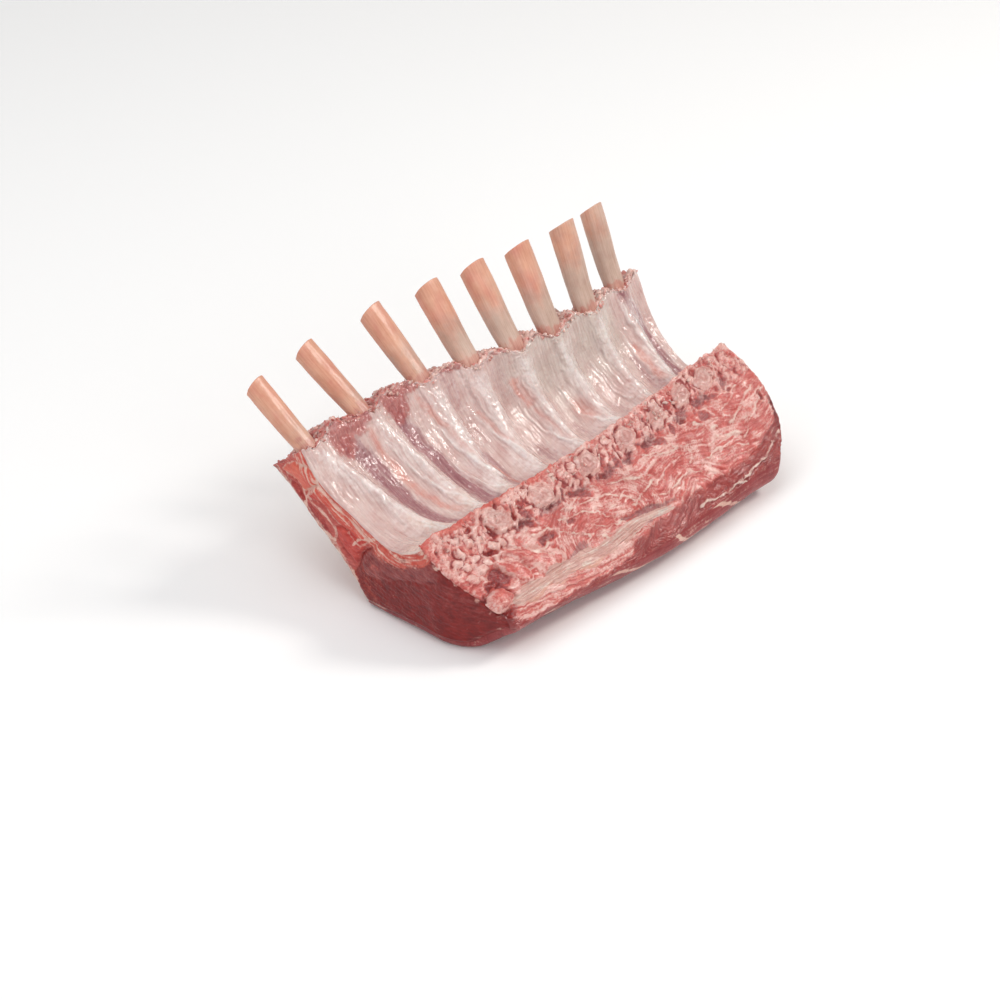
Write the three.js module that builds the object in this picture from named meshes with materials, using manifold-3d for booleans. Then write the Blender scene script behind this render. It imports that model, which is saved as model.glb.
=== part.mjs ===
// A frenched rack of lamb: eight ribs with the loin, cap and fat they carry.
// It lies on the back of the loin, with the sawn chine in front and the bare bones up behind.
// Millimetres. +X runs along the row of ribs, +Y towards the bones, +Z up.
import * as THREE from 'three';
import { mergeVertices } from 'three/addons/utils/BufferGeometryUtils.js';
import Module from 'manifold-3d';

const wasm = await Module();
wasm.setup();

// ---- driving dimensions ----

const rackLength = 206; // along the crest of the chine
const seam = 0.3; // clearance between two touching pieces
const rimHeight = 65; // where the bones leave the meat

// The middle of the rack's footprint, where the origin goes.
const middle = { x: 99.24, y: 48.55 };

// Cross-sections along the rack, [y, z] in the plane across the ribs.
// crest: top edge of the sawn chine. dip and valley: floor of the trough. sag: hollow of the flap.
// depths: how thick the flap is from its inner face, at mid flap, high flap and rim.
const sections = [
  {
    x: 0,
    crest: [25, 47.5],
    dip: [35, 41.5],
    valley: [46, 42],
    sag: 3,
    midDepth: 26,
    highDepth: 24,
    rimDepth: 26.5,
    rimReach: 3,
    heel: [60.5, 7],
    foot: [55, 1],
    face: [4, 34.5],
    toe: [-13, 22],
    hem: [-21, 14],
    front: [-12, 8],
    brisket: [-2, 0],
  },
  {
    x: 105,
    crest: [22.5, 47.5],
    dip: [34, 33.5],
    valley: [44, 34],
    sag: 4,
    midDepth: 26,
    highDepth: 21,
    rimDepth: 17,
    rimReach: 2,
    heel: [64, 8],
    foot: [54, 1],
    face: [4, 36.5],
    toe: [-15, 23.5],
    hem: [-26, 14],
    front: [-27.5, 8],
    brisket: [-13, 0],
  },
  {
    x: 195,
    crest: [24, 53.5],
    dip: [34, 37.5],
    valley: [43, 38],
    sag: 4,
    midDepth: 25,
    highDepth: 20,
    rimDepth: 16,
    rimReach: 2,
    heel: [62, 9],
    foot: [50, 1],
    face: [4, 45.5],
    toe: [-16, 29],
    hem: [-25, 18],
    front: [-29, 9],
    brisket: [-15, 0],
  },
];

// Where the hollow of the flap bends, as shares of the way from the valley to the rim.
const bendShare = 0.38;
const slopeShare = 0.7;
const slopeSag = 0.8; // the hollow there, as a share of the sag
const midAcross = 0.6; // where those two spots lie along the whole inner face
const highAcross = 0.8;

// One row for each rib. rimX, rimY: where it leaves the meat. troughX, headX: the same bone lower down.
// tipX: where its cut tip lies along the row. lean: its slope above the floor. bare: the clean length.
const ribs = [
  {
    rimX: -3, rimY: 90, troughX: 9, headX: 11,
    tipX: -8, lean: 43, bare: 35.5, wide: 11.4, thick: 8,
  },
  {
    rimX: 33, rimY: 92.5, troughX: 37, headX: 33,
    tipX: 27, lean: 41, bare: 38, wide: 12.6, thick: 8.2,
  },
  {
    rimX: 71, rimY: 92, troughX: 66, headX: 63,
    tipX: 67, lean: 46, bare: 39, wide: 13.6, thick: 8.8,
  },
  {
    rimX: 96.5, rimY: 85.5, troughX: 94, headX: 93.5,
    tipX: 96.5, lean: 50, bare: 40.5, wide: 14.6, thick: 9.6,
  },
  {
    rimX: 120.5, rimY: 80, troughX: 119, headX: 119,
    tipX: 121.5, lean: 52, bare: 42, wide: 15, thick: 9.6,
  },
  {
    rimX: 143.5, rimY: 76.5, troughX: 144, headX: 144,
    tipX: 144.5, lean: 59, bare: 42.5, wide: 15.2, thick: 9.8,
  },
  {
    rimX: 170.5, rimY: 77, troughX: 168, headX: 165,
    tipX: 172, lean: 66, bare: 42.5, wide: 14.8, thick: 9.6,
  },
  {
    rimX: 196.5, rimY: 80.5, troughX: 188, headX: 180,
    tipX: 198, lean: 65, bare: 40.5, wide: 13.2, thick: 8.8,
  },
];
const bareSpots = [1, 0.6, 0.25]; // where the path of the clean bone is set, as shares of its length
const meatSpots = [0.92, 0.76, 0.6, 0.45, 0.29]; // the same in the meat, across from chine (0) to rim (1)
const headSpots = [11, 0]; // the same at the head, as depths behind the sawn face
const ribLow = 0.4; // across the flap, where a rib passes its troughX
const ribTurn = 0.25; // and where it starts to turn towards its rimX
const ribDown = 8; // from the crest to the middle of a sawn rib head, along the chine face
const ribDeep = 5.6; // from the flap's inner face to the middle of the bone
const rootDeep = 6; // the same at the rim
const headWidth = 13;
const headThick = 9;
const headFrom = 0.8; // along the bone from its tip, where the head starts to widen
const waist = { from: 0.2, to: 0.45, loss: 0.22 }; // where the bone narrows, and by what share
const tipSlant = 0.9; // the tips are cut higher on the far side
const slantEnd = 0.2; // along the bone, where that slant has died out
const ribSides = 8;
const ribSteps = 10;

const wallDepth = 10.4; // rib plate, from its inner face to its back
const ridgeHeight = 2.6; // how far the plate stands up over a bone
const ridgeHalf = 6; // half the width of that swelling, where it has lost two thirds of its height
const ridgeFrom = 0.25; // across the flap, where the swelling reaches its full height
const ridgeFade = { from: 0.7, loss: 0.7 }; // where it dies out towards the rim, and by what share
const capShare = 0.5; // how much of the meat outside the plate is the inner cap muscle
const capFrom = 0.5; // across the flap, where the cap and flank begin
const flankFrom = 0.25; // the same along the outer face
const skinDepth = 2.2; // fat over the outside of the flap
const chineDepth = 8;
const chineThin = 0.7; // its depth at the ligament, as a share of the depth at the crest
const chineInset = 6; // the sawn slab starts behind the end of the loin
const insetEnd = 0.2; // across the flap, where the plate is back in line with the loin
const strapDepth = 4.5;
const strapTaper = { from: 0.3, loss: 0.75 }; // where the ligament starts to thin, and by what share
const strapSpan = [9, 128]; // the ligament band's two ends along the row
const toeAt = 2 / 3; // where the sawn face ends and the ligament begins, along its curve
const seamShare = 0.01; // half the seam inside the flap's meat, as a share of its thickness
const eyeMiddle = new THREE.Vector2(20, 18);
const eyeSides = 16;
const eyeSteps = 10;
const eyeShort = 0.997; // the eye stops short of the sawn slab's far end
const heelIn = 8; // from the foot to where the flat underside ends
const eyeTuck = 3; // how far the eye's outline runs into the pieces that are cut from it
const growRounds = 4; // times a grown body's corners are pushed out, so that every face has moved by the seam

// ---- curves ----

// A smooth value through rows that are sorted along the rack.
function follow(rows, along, value, x) {
  const last = rows.length - 2;
  let i = 0;
  while (i < last && x > rows[i + 1][along]) i += 1;
  const a = rows[i];
  const b = rows[i + 1];
  const before = rows[Math.max(i - 1, 0)];
  const after = rows[Math.min(i + 2, rows.length - 1)];
  const step = b[along] - a[along];
  const t = (x - a[along]) / step;
  const slopeA = ((value(b) - value(before)) / (b[along] - before[along])) * step;
  const slopeB = ((value(after) - value(a)) / (after[along] - a[along])) * step;
  const square = t * t;
  const cube = square * t;
  return (
    value(a) * (2 * cube - 3 * square + 1) +
    slopeA * (cube - 2 * square + t) +
    value(b) * (3 * square - 2 * cube) +
    slopeB * (cube - square)
  );
}

const clampedX = (x) => THREE.MathUtils.clamp(x, sections[0].x, sections.at(-1).x);

function number(name, x) {
  return follow(sections, 'x', (row) => row[name], clampedX(x));
}

function point(name, x) {
  const y = follow(sections, 'x', (row) => row[name][0], clampedX(x));
  const z = follow(sections, 'x', (row) => row[name][1], clampedX(x));
  return new THREE.Vector2(y, z);
}

// The middle of the bones where they leave the rim, carried on between them.
function boneRoot(x) {
  const held = THREE.MathUtils.clamp(x, ribs[0].rimX, ribs.at(-1).rimX);
  return new THREE.Vector2(follow(ribs, 'rimX', (rib) => rib.rimY, held), rimHeight);
}

// Away from the trough, square to the curve.
function outward(curve, t) {
  const tangent = curve.getTangent(THREE.MathUtils.clamp(t, 0, 1));
  return new THREE.Vector2(tangent.y, -tangent.x);
}

const kept = new Map();

// The trough and flap's inner face (from crest to rim), the flap's outer face and the sawn face.
function profiles(x) {
  const key = x.toFixed(3);
  if (kept.has(key)) return kept.get(key);
  const valley = point('valley', x);
  const root = boneRoot(x);
  const lift = root.clone().sub(valley);
  const square = new THREE.Vector2(lift.y, -lift.x).normalize();
  const rim = root.addScaledVector(square, -rootDeep);
  const rise = rim.clone().sub(valley);
  const sag = number('sag', x);
  const bend = valley.clone().addScaledVector(rise, bendShare).addScaledVector(square, sag);
  const slope = valley.clone().addScaledVector(rise, slopeShare).addScaledVector(square, sag * slopeSag);
  const inner = new THREE.SplineCurve([point('crest', x), point('dip', x), valley, bend, slope, rim]);
  const midOut = bend.clone().addScaledVector(outward(inner, midAcross), number('midDepth', x));
  const highOut = slope.clone().addScaledVector(outward(inner, highAcross), number('highDepth', x));
  const rimOut = rim.clone().addScaledVector(outward(inner, 1), number('rimDepth', x));
  rimOut.addScaledVector(inner.getTangent(1), number('rimReach', x));
  const outer = new THREE.SplineCurve([point('foot', x), point('heel', x), midOut, highOut, rimOut]);
  const face = new THREE.SplineCurve([point('crest', x), point('face', x), point('toe', x), point('hem', x)]);
  const found = { inner, outer, face };
  kept.set(key, found);
  return found;
}

const off = (curve, t, distance) => {
  const held = THREE.MathUtils.clamp(t, 0, 1);
  const spot = curve.getPoint(held);
  spot.addScaledVector(curve.getTangent(held), (t - held) * curve.getLength());
  return spot.addScaledVector(outward(curve, held), distance);
};

// ---- the two ends ----

const swell = (from, to, value) => THREE.MathUtils.smoothstep(value, from, to);

// How far the near cut stands out over the loin, and the flap beyond that.
// Both ends draw back at the front corner, and the far end of the flap runs on.
const loinOut = 5;
const flapOut = 4;
const cornerNear = 14;
const cornerFar = 3;
const underFar = 17; // the loin is rounded under the far end
const flapFar = 6;

const nearEnd = (y) => cornerNear * (1 - swell(-24, 14, y)) - loinOut - flapOut * swell(58, 84, y);

function farEnd(y, z) {
  const corner = cornerFar * (1 - swell(-28, 14, y));
  const under = underFar * (1 - swell(0, 38, z)) * (1 - swell(10, 50, y));
  return rackLength - corner - under + flapFar * swell(50, 72, y);
}

// s runs from 0 at the near end to 1 at the far end. inset holds a piece back from the near end.
function place(s, spot, inset = 0) {
  const from = nearEnd(spot.x) + inset;
  const to = farEnd(spot.x, spot.y);
  return new THREE.Vector3(from + (to - from) * s, spot.x, Math.max(spot.y, 0));
}

// ---- solids ----

// Takes a closed body of three.js, corner by corner, to where put says.
function moved(source, put) {
  source.deleteAttribute('normal');
  source.deleteAttribute('uv');
  const body = mergeVertices(source, 1e-5);
  const spots = body.getAttribute('position');
  for (let i = 0; i < spots.count; i += 1) {
    const spot = put(spots.getX(i), spots.getY(i), spots.getZ(i));
    spots.setXYZ(i, spot.x, spot.y, spot.z);
  }
  return body;
}

// A layer of the rack, in cells along, across and through it.
// top and bottom give its two faces in the cross-section at x, across from chine (0) to bones (1).
function layer(cells, top, bottom, inset = () => 0) {
  return moved(new THREE.BoxGeometry(1, 1, 1, ...cells), (a, b, c) => {
    const s = a + 0.5;
    const x = s * rackLength;
    const across = b + 0.5;
    const spot = bottom(x, across).lerp(top(x, across), c + 0.5);
    return place(s, spot, inset(across));
  });
}

function solid(body) {
  return new wasm.Manifold(
    new wasm.Mesh({
      numProp: 3,
      vertProperties: new Float32Array(body.getAttribute('position').array),
      triVerts: new Uint32Array(body.index.array),
    }),
  );
}

// The same body with every face moved out by the seam, to cut room for it in its neighbours.
function grown(body) {
  const larger = body.clone();
  const spots = larger.getAttribute('position');
  const moves = Array.from({ length: spots.count }, () => new THREE.Vector3());
  const corners = body.index.array;
  const face = new THREE.Triangle();
  const normal = new THREE.Vector3();
  for (let round = 0; round < growRounds; round += 1) {
    for (let i = 0; i < corners.length; i += 3) {
      const three = corners.subarray(i, i + 3);
      face.setFromAttributeAndIndices(spots, ...three);
      face.getNormal(normal);
      for (const corner of three) {
        const short = Math.max(seam - moves[corner].dot(normal), 0);
        moves[corner].addScaledVector(normal, short);
      }
    }
  }
  moves.forEach((move, i) => {
    spots.setXYZ(i, spots.getX(i) + move.x, spots.getY(i) + move.y, spots.getZ(i) + move.z);
  });
  return solid(larger);
}

function less(body, others) {
  return others.reduce((left, other) => left.subtract(grown(other)), solid(body));
}

// ---- rib bones ----

// Where a rib crosses the flap at u, from the crest of the chine (0) to the rim (1).
function ribAcross(rib, u) {
  const low = THREE.MathUtils.lerp(rib.headX, rib.troughX, Math.min(u / ribLow, 1));
  return THREE.MathUtils.lerp(low, rib.rimX, swell(ribTurn, 1, u));
}

function ribPath(rib) {
  const spots = [];
  const lean = THREE.MathUtils.degToRad(rib.lean);
  const root = off(profiles(rib.rimX).inner, 1, rootDeep);
  for (const share of bareSpots) {
    const x = THREE.MathUtils.lerp(rib.rimX, rib.tipX, share);
    const reach = rib.bare * share;
    spots.push(new THREE.Vector3(x, root.x + reach * Math.cos(lean), root.y + reach * Math.sin(lean)));
  }
  for (const u of meatSpots) {
    const x = ribAcross(rib, u);
    const spot = off(profiles(x).inner, u, ribDeep);
    spots.push(new THREE.Vector3(x, spot.x, spot.y));
  }
  const { face } = profiles(rib.headX);
  const down = ribDown / face.getLength();
  for (const deep of headSpots) {
    const spot = off(face, down, -deep);
    spots.push(new THREE.Vector3(rib.headX, spot.x, spot.y));
  }
  return new THREE.CatmullRomCurve3(spots, false, 'centripetal');
}

// A flattened bone from its cut tip to its sawn head, widest at the head.
function ribBone(rib) {
  const path = ribPath(rib);
  return moved(new THREE.CylinderGeometry(1, 1, 1, ribSides, ribSteps), (a, along, b) => {
    const t = 0.5 - along;
    const axis = path.getTangentAt(t).negate();
    const across = new THREE.Vector3(1, 0, 0).addScaledVector(axis, -axis.x).normalize();
    const through = across.clone().cross(axis);
    const head = swell(headFrom, 1, t);
    const taper = 1 - waist.loss * swell(waist.from, waist.to, t);
    const width = THREE.MathUtils.lerp(rib.wide * taper, headWidth, head) / 2;
    const thick = THREE.MathUtils.lerp(rib.thick * taper, headThick, head) / 2;
    const slant = a * tipSlant * (1 - swell(0, slantEnd, t));
    const spot = path.getPointAt(t).addScaledVector(axis, slant);
    return spot.addScaledVector(across, a * width).addScaledVector(through, b * thick);
  });
}

// ---- meat and fat ----

// How far the plate's inner face lies below its highest line, which runs over the bones.
function ridgeDrop(x, u) {
  let height = 0;
  for (const rib of ribs) {
    const away = (x - ribAcross(rib, u)) / ridgeHalf;
    height = Math.max(height, Math.exp(-away * away));
  }
  const hollow = 1 - ridgeFade.loss * swell(ridgeFade.from, 1, u);
  return ridgeHeight * hollow * (1 - height * swell(0, ridgeFrom, u));
}

// The plate over and between the ribs. Its inner face is the trough.
const plate = layer(
  [32, 6, 1],
  (x, u) => {
    const { inner } = profiles(x);
    const flat = place(x / rackLength, off(inner, u, 0));
    return off(inner, u, ridgeDrop(flat.x, u));
  },
  (x, u) => off(profiles(x).inner, u, wallDepth),
  (u) => chineInset * (1 - swell(0, insetEnd, u)),
);

// The same plate without its ridges, in longer cells, to cut the loin under it.
const plateBed = layer(
  [16, 6, 1],
  (x, u) => off(profiles(x).inner, u, ridgeHeight),
  (x, u) => off(profiles(x).inner, u, wallDepth),
);

// The sawn slab of meat, bone and gristle, from the ligament up to the crest.
const chine = layer(
  [12, 3, 1],
  (x, across) => off(profiles(x).face, (1 - across) * toeAt, 0),
  (x, across) => {
    const depth = chineDepth * THREE.MathUtils.lerp(chineThin, 1, across);
    return off(profiles(x).face, (1 - across) * toeAt, -depth);
  },
  () => chineInset,
);

// The ligament along the foot of the sawn face, drawn out thin towards the far end.
const strap = moved(new THREE.BoxGeometry(1, 1, 1, 10, 2, 1), (a, b, c) => {
  const x = THREE.MathUtils.lerp(...strapSpan, a + 0.5);
  const wide = 1 - strapTaper.loss * swell(strapTaper.from, 1, a + 0.5);
  const spot = off(profiles(x).face, toeAt + (1 - toeAt) * (0.5 - b) * wide, (c - 0.5) * strapDepth * wide);
  return place(x / rackLength, spot);
});

const skinTop = (x, w) => off(profiles(x).outer, w, -skinDepth - seam);
const plateBack = (x, w) => off(profiles(x).inner, THREE.MathUtils.lerp(capFrom, 1, w), wallDepth + seam);
const flapSkin = (x, w) => skinTop(x, THREE.MathUtils.lerp(flankFrom, 1, w));
const flapSplit = (x, w, share) => plateBack(x, w).lerp(flapSkin(x, w), share);

// The red muscle next to the plate, and the darker one outside it.
const cap = layer([16, 3, 1], (x, w) => plateBack(x, w), (x, w) => flapSplit(x, w, capShare - seamShare));
const flank = layer([16, 3, 1], (x, w) => flapSplit(x, w, capShare + seamShare), (x, w) => flapSkin(x, w));

// The fat over the outside of the flap, down to the heel of the loin.
const skin = layer(
  [16, 4, 1],
  (x, w) => off(profiles(x).outer, w, -skinDepth),
  (x, w) => off(profiles(x).outer, w, 0),
);

// The eye of the loin fills what the others leave, and is flat underneath where it rests.
function eyeOutline(x) {
  const { inner, face } = profiles(x);
  const foot = point('foot', x);
  const heel = point('heel', x);
  const spots = [
    point('brisket', x),
    new THREE.Vector2(foot.x - heelIn, 0),
    new THREE.Vector2(heel.x - eyeTuck, heel.y - eyeTuck / 3),
    off(inner, capFrom + 0.04, wallDepth + heelIn),
    off(inner, capFrom - 0.04, wallDepth - eyeTuck),
    off(inner, capFrom / 2, wallDepth - eyeTuck),
    off(face, toeAt / 3, -chineDepth / 2),
    off(face, (toeAt * 2) / 3, -chineDepth / 2),
    off(face, (1 + toeAt) / 2, -eyeTuck),
    point('front', x),
  ];
  return new THREE.CatmullRomCurve3(spots.map((spot) => new THREE.Vector3(spot.x, spot.y, 0)), true);
}

const loin = moved(new THREE.CylinderGeometry(1, 1, 1, eyeSides, eyeSteps), (a, along, b) => {
  const s = along + 0.5;
  const outline = eyeOutline(s * rackLength);
  const turn = (Math.atan2(a, b) / (2 * Math.PI) + 1) % 1;
  const edge = outline.getPoint(turn);
  const spot = new THREE.Vector2(edge.x, edge.y);
  return place(s * eyeShort, Math.hypot(a, b) > 0 ? spot : eyeMiddle.clone());
});

// ---- the rack ----

const colours = {
  bone: { color: '#e3c9b0', roughness: 0.5 },
  eye: { color: '#7c2f33', roughness: 0.45 },
  cap: { color: '#b8443f', roughness: 0.45 },
  flank: { color: '#a03a3a', roughness: 0.45 },
  plate: { color: '#d9b4b0', roughness: 0.3 },
  chine: { color: '#c4706a', roughness: 0.55 },
  fat: { color: '#e6cdb4', roughness: 0.5 },
  ligament: { color: '#ddd0bb', roughness: 0.4 },
};

const rack = new THREE.Group();
rack.position.set(-middle.x, -middle.y, 0);

function add(name, shape, colour) {
  const mesh = shape.getMesh();
  const geometry = new THREE.BufferGeometry();
  geometry.setAttribute('position', new THREE.BufferAttribute(mesh.vertProperties, 3));
  geometry.setIndex(new THREE.BufferAttribute(mesh.triVerts, 1));
  geometry.computeVertexNormals();
  const material = new THREE.MeshStandardMaterial({ ...colours[colour], metalness: 0 });
  const piece = new THREE.Mesh(geometry, material);
  piece.name = name;
  rack.add(piece);
}

const bones = ribs.map(ribBone);
bones.forEach((bone, i) => add(`rib_${i + 1}`, solid(bone), 'bone'));
add('backstrap', solid(strap), 'ligament');
add('chine', less(chine, [strap, ...bones]), 'chine');
add('rib_plate', less(plate, [chine, ...bones]), 'plate');
add('rib_cap', less(cap, [plateBed, ...bones]), 'cap');
add('flank', less(flank, [cap, skin, ...bones]), 'flank');
add('fat_cover', solid(skin), 'fat');
add('loin_eye', less(loin, [plateBed, chine, strap, cap, flank, skin, ...bones]), 'eye');

const lamb = new THREE.Group();
lamb.add(rack);

export default lamb;
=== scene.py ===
import math
import bmesh
import bpy
import numpy as np
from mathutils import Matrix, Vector


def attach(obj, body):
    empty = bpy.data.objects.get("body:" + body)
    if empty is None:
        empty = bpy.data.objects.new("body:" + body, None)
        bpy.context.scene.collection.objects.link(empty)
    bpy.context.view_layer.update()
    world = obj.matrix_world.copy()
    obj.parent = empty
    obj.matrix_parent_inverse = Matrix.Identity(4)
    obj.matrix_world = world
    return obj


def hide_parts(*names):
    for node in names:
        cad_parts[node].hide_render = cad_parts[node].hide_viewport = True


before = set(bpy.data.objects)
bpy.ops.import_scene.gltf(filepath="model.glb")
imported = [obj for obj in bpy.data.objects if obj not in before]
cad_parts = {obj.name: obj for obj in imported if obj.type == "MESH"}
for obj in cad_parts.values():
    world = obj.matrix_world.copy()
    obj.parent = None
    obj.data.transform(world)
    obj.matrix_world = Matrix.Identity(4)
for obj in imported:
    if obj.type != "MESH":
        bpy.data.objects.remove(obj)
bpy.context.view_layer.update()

# The rack's shape, in mm. Its stations give [y, z] across the ribs, or a depth, at three places along it.

rack = {
    "length": 206.0,
    "rimHeight": 65.0,
    "rimInset": 6,  # from the middle of a rib bone to the trough's side of the rim
    "bendAt": 0.38,  # the two bends of the trough's wall, in shares of its rise
    "slopeAt": 0.7,
    "middleX": 99.24,  # the frame's origin is under the middle of the rack
    "middleY": 48.55,
}
ends = {  # how far the two cuts lean out or fall back, in mm
    "nearOut": 5,
    "nearToeBack": 14,
    "nearTipOut": 4,
    "farToeBack": 3,
    "farUnderBack": 17,
    "farTipOut": 4,
}
stationX = [0.0, 105.0, 195.0]
stations = {
    "crest": [[25, 47.5], [22.5, 47.5], [24, 53.5]],
    "dip": [[35, 41.5], [34, 33.5], [34, 37.5]],
    "valley": [[46, 42], [44, 34], [43, 38]],
    "heel": [[60.5, 7], [64, 8], [62, 9]],
    "foot": [[55, 1], [54, 1], [50, 1]],
    "face": [[4, 34.5], [4, 36.5], [4, 45.5]],
    "toe": [[-13, 22], [-15, 23.5], [-16, 29]],
    "hem": [[-21, 14], [-26, 14], [-25, 18]],
    "front": [[-12, 8], [-27.5, 8], [-29, 9]],
    "brisket": [[-2, 0], [-13, 0], [-15, 0]],
    "sag": [3, 4, 4],
    "midDepth": [26, 26, 25],
    "highDepth": [24, 21, 20],
    "rimDepth": [26.5, 17, 16],
    "rimReach": [3, 2, 2],
}
# Each rib bone from the near end, in mm and degrees. Its x is given at the rim, in the trough, at the sawn
# face and at the tip. The last terms are how far it sweeps under the membrane, how grey it is all over and
# by the meat, and its flush of pink.
ribTerms = ["rimX", "rimY", "troughX", "headX", "tipX", "lean", "bare", "wide", "thick"]
ribTerms += ["sweep", "grey", "rootGrey", "flush"]
ribTable = [
    [-3, 90, 9, 11, -8, 43, 35.5, 11.4, 8, 10, 0.0, 0.45, 0],
    [33, 92.5, 37, 33, 27, 41, 38, 12.6, 8.2, 11, 0.0, 0.45, 0],
    [71, 92, 66, 63, 67, 46, 39, 13.6, 8.8, 3, 0.08, 0.6, 0],
    [96.5, 85.5, 94, 93.5, 96.5, 50, 40.5, 14.6, 9.6, -3, 0.12, 0.8, 0.25],
    [120.5, 80, 119, 119, 121.5, 52, 42, 15, 9.6, 0, 0.16, 0.85, 0.25],
    [143.5, 76.5, 144, 144, 144.5, 59, 42.5, 15.2, 9.8, 2, 0.24, 0.85, 0.25],
    [170.5, 77, 168, 165, 172, 66, 42.5, 14.8, 9.6, 3, 0.42, 0.85, 0],
    [196.5, 80.5, 188, 180, 198, 65, 40.5, 13.2, 8.8, 3, 0.62, 0.85, 0],
]
ribs = [dict(zip(ribTerms, row)) for row in ribTable]


def ramp(low, high, value):
    t = np.clip((value - low) / (high - low), 0, 1)
    return t * t * (3 - 2 * t)


def mix(a, b, share):
    return a + (b - a) * share


def bell(value, middle, width):
    # 1 at the middle, falling away to both sides.
    return np.exp(-(((value - middle) / width) ** 2))


def follow(rowX, rowValues, x):
    # A smooth curve through values given at a few places along the rack.
    rowX = np.asarray(rowX, float)
    rowValues = np.asarray(rowValues, float)
    i = np.clip(np.searchsorted(rowX, x, side="left") - 1, 0, len(rowX) - 2)
    before = np.maximum(i - 1, 0)
    after = np.minimum(i + 2, len(rowX) - 1)
    spread = (...,) + (None,) * (rowValues.ndim - 1)
    step = (rowX[i + 1] - rowX[i])[spread]
    a, b = rowValues[i], rowValues[i + 1]
    slopeA = (b - rowValues[before]) / (rowX[i + 1] - rowX[before])[spread] * step
    slopeB = (rowValues[after] - a) / (rowX[after] - rowX[i])[spread] * step
    t = ((x - rowX[i]) / (rowX[i + 1] - rowX[i]))[spread]
    rise = a * (2 * t**3 - 3 * t**2 + 1) + b * (3 * t**2 - 2 * t**3)
    return rise + slopeA * (t**3 - 2 * t**2 + t) + slopeB * (t**3 - t**2)


def station(name, x):
    return follow(stationX, stations[name], np.clip(x, stationX[0], stationX[-1]))


def alongSpline(points, t):
    # points is (rows, knots, 2) and t (rows,): one point of each row's curve.
    last = points.shape[1] - 1
    p = np.clip(t, 0, 1) * last
    i = np.minimum(np.floor(p).astype(int), last)
    w = (p - i)[:, None]
    rows = np.arange(len(points))
    p1 = points[rows, i]
    p0 = points[rows, np.maximum(i - 1, 0)]
    p2 = points[rows, np.minimum(i + 1, last)]
    p3 = points[rows, np.minimum(i + 2, last)]
    v0, v1 = (p2 - p0) / 2, (p3 - p1) / 2
    return (2 * p1 - 2 * p2 + v0 + v1) * w**3 + (3 * p2 - 3 * p1 - 2 * v0 - v1) * w**2 + v0 * w + p1


def tangentAt(points, t):
    step = alongSpline(points, np.clip(t + 1e-4, 0, 1)) - alongSpline(points, np.clip(t - 1e-4, 0, 1))
    return step / np.linalg.norm(step, axis=1)[:, None]


def offCurve(points, t, distance):
    t = np.broadcast_to(np.clip(t, 0, 1), len(points))
    tangent = tangentAt(points, t)
    outward = np.stack([tangent[:, 1], -tangent[:, 0]], 1)
    return alongSpline(points, t) + outward * np.broadcast_to(distance, len(points))[:, None]


def profiles(x):
    # The curves across the rack at each x: the trough, the back of the flap and the sawn face.
    valley = station("valley", x)
    held = np.clip(x, ribs[0]["rimX"], ribs[-1]["rimX"])
    rootY = follow([rib["rimX"] for rib in ribs], [rib["rimY"] for rib in ribs], held)
    root = np.stack([rootY, np.full_like(rootY, rack["rimHeight"])], 1)
    lift = root - valley
    square = np.stack([lift[:, 1], -lift[:, 0]], 1)
    square /= np.linalg.norm(square, axis=1)[:, None]
    rim = root - square * rack["rimInset"]
    rise = rim - valley
    sag = station("sag", x)[:, None]
    bend = valley + rise * rack["bendAt"] + square * sag
    slope = valley + rise * rack["slopeAt"] + square * sag * 0.8
    inner = np.stack([station("crest", x), station("dip", x), valley, bend, slope, rim], 1)

    def outward(u):
        tangent = tangentAt(inner, np.full(len(x), u))
        return np.stack([tangent[:, 1], -tangent[:, 0]], 1)

    midOut = bend + outward(0.6) * station("midDepth", x)[:, None]
    highOut = slope + outward(0.8) * station("highDepth", x)[:, None]
    rimOut = rim + outward(1.0) * station("rimDepth", x)[:, None]
    rimOut += tangentAt(inner, np.ones(len(x))) * station("rimReach", x)[:, None]
    outer = np.stack([station("foot", x), station("heel", x), midOut, highOut, rimOut], 1)
    face = np.stack([station("crest", x), station("face", x), station("toe", x), station("hem", x)], 1)
    return {"inner": inner, "outer": outer, "face": face}


def nearEnd(y):
    back = ends["nearToeBack"] * (1 - ramp(-24, 14, y))
    return back - ends["nearOut"] - ends["nearTipOut"] * ramp(58, 84, y)


def farEnd(y, z):
    corner = ends["farToeBack"] * (1 - ramp(-28, 14, y))
    under = ends["farUnderBack"] * (1 - ramp(0, 38, z)) * (1 - ramp(10, 50, y))
    return rack["length"] - corner - under + ends["farTipOut"] * ramp(50, 72, y)


def ribAcross(rib, u):
    low = rib["headX"] + (rib["troughX"] - rib["headX"]) * np.minimum(u / 0.4, 1)
    return low + (rib["rimX"] - low) * ramp(0.25, 1, u)


# Natural unevenness.

noiseTable = np.random.default_rng(11).normal(size=(4096, 3))
noiseTable /= np.linalg.norm(noiseTable, axis=1)[:, None]


def tableSpot(cell, seed):
    # Large odd numbers scatter neighbouring cells over the table.
    return (cell[:, 0] * 73856093 ^ cell[:, 1] * 19349663 ^ cell[:, 2] * 83492791 ^ (seed * 40503)) & 4095


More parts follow.
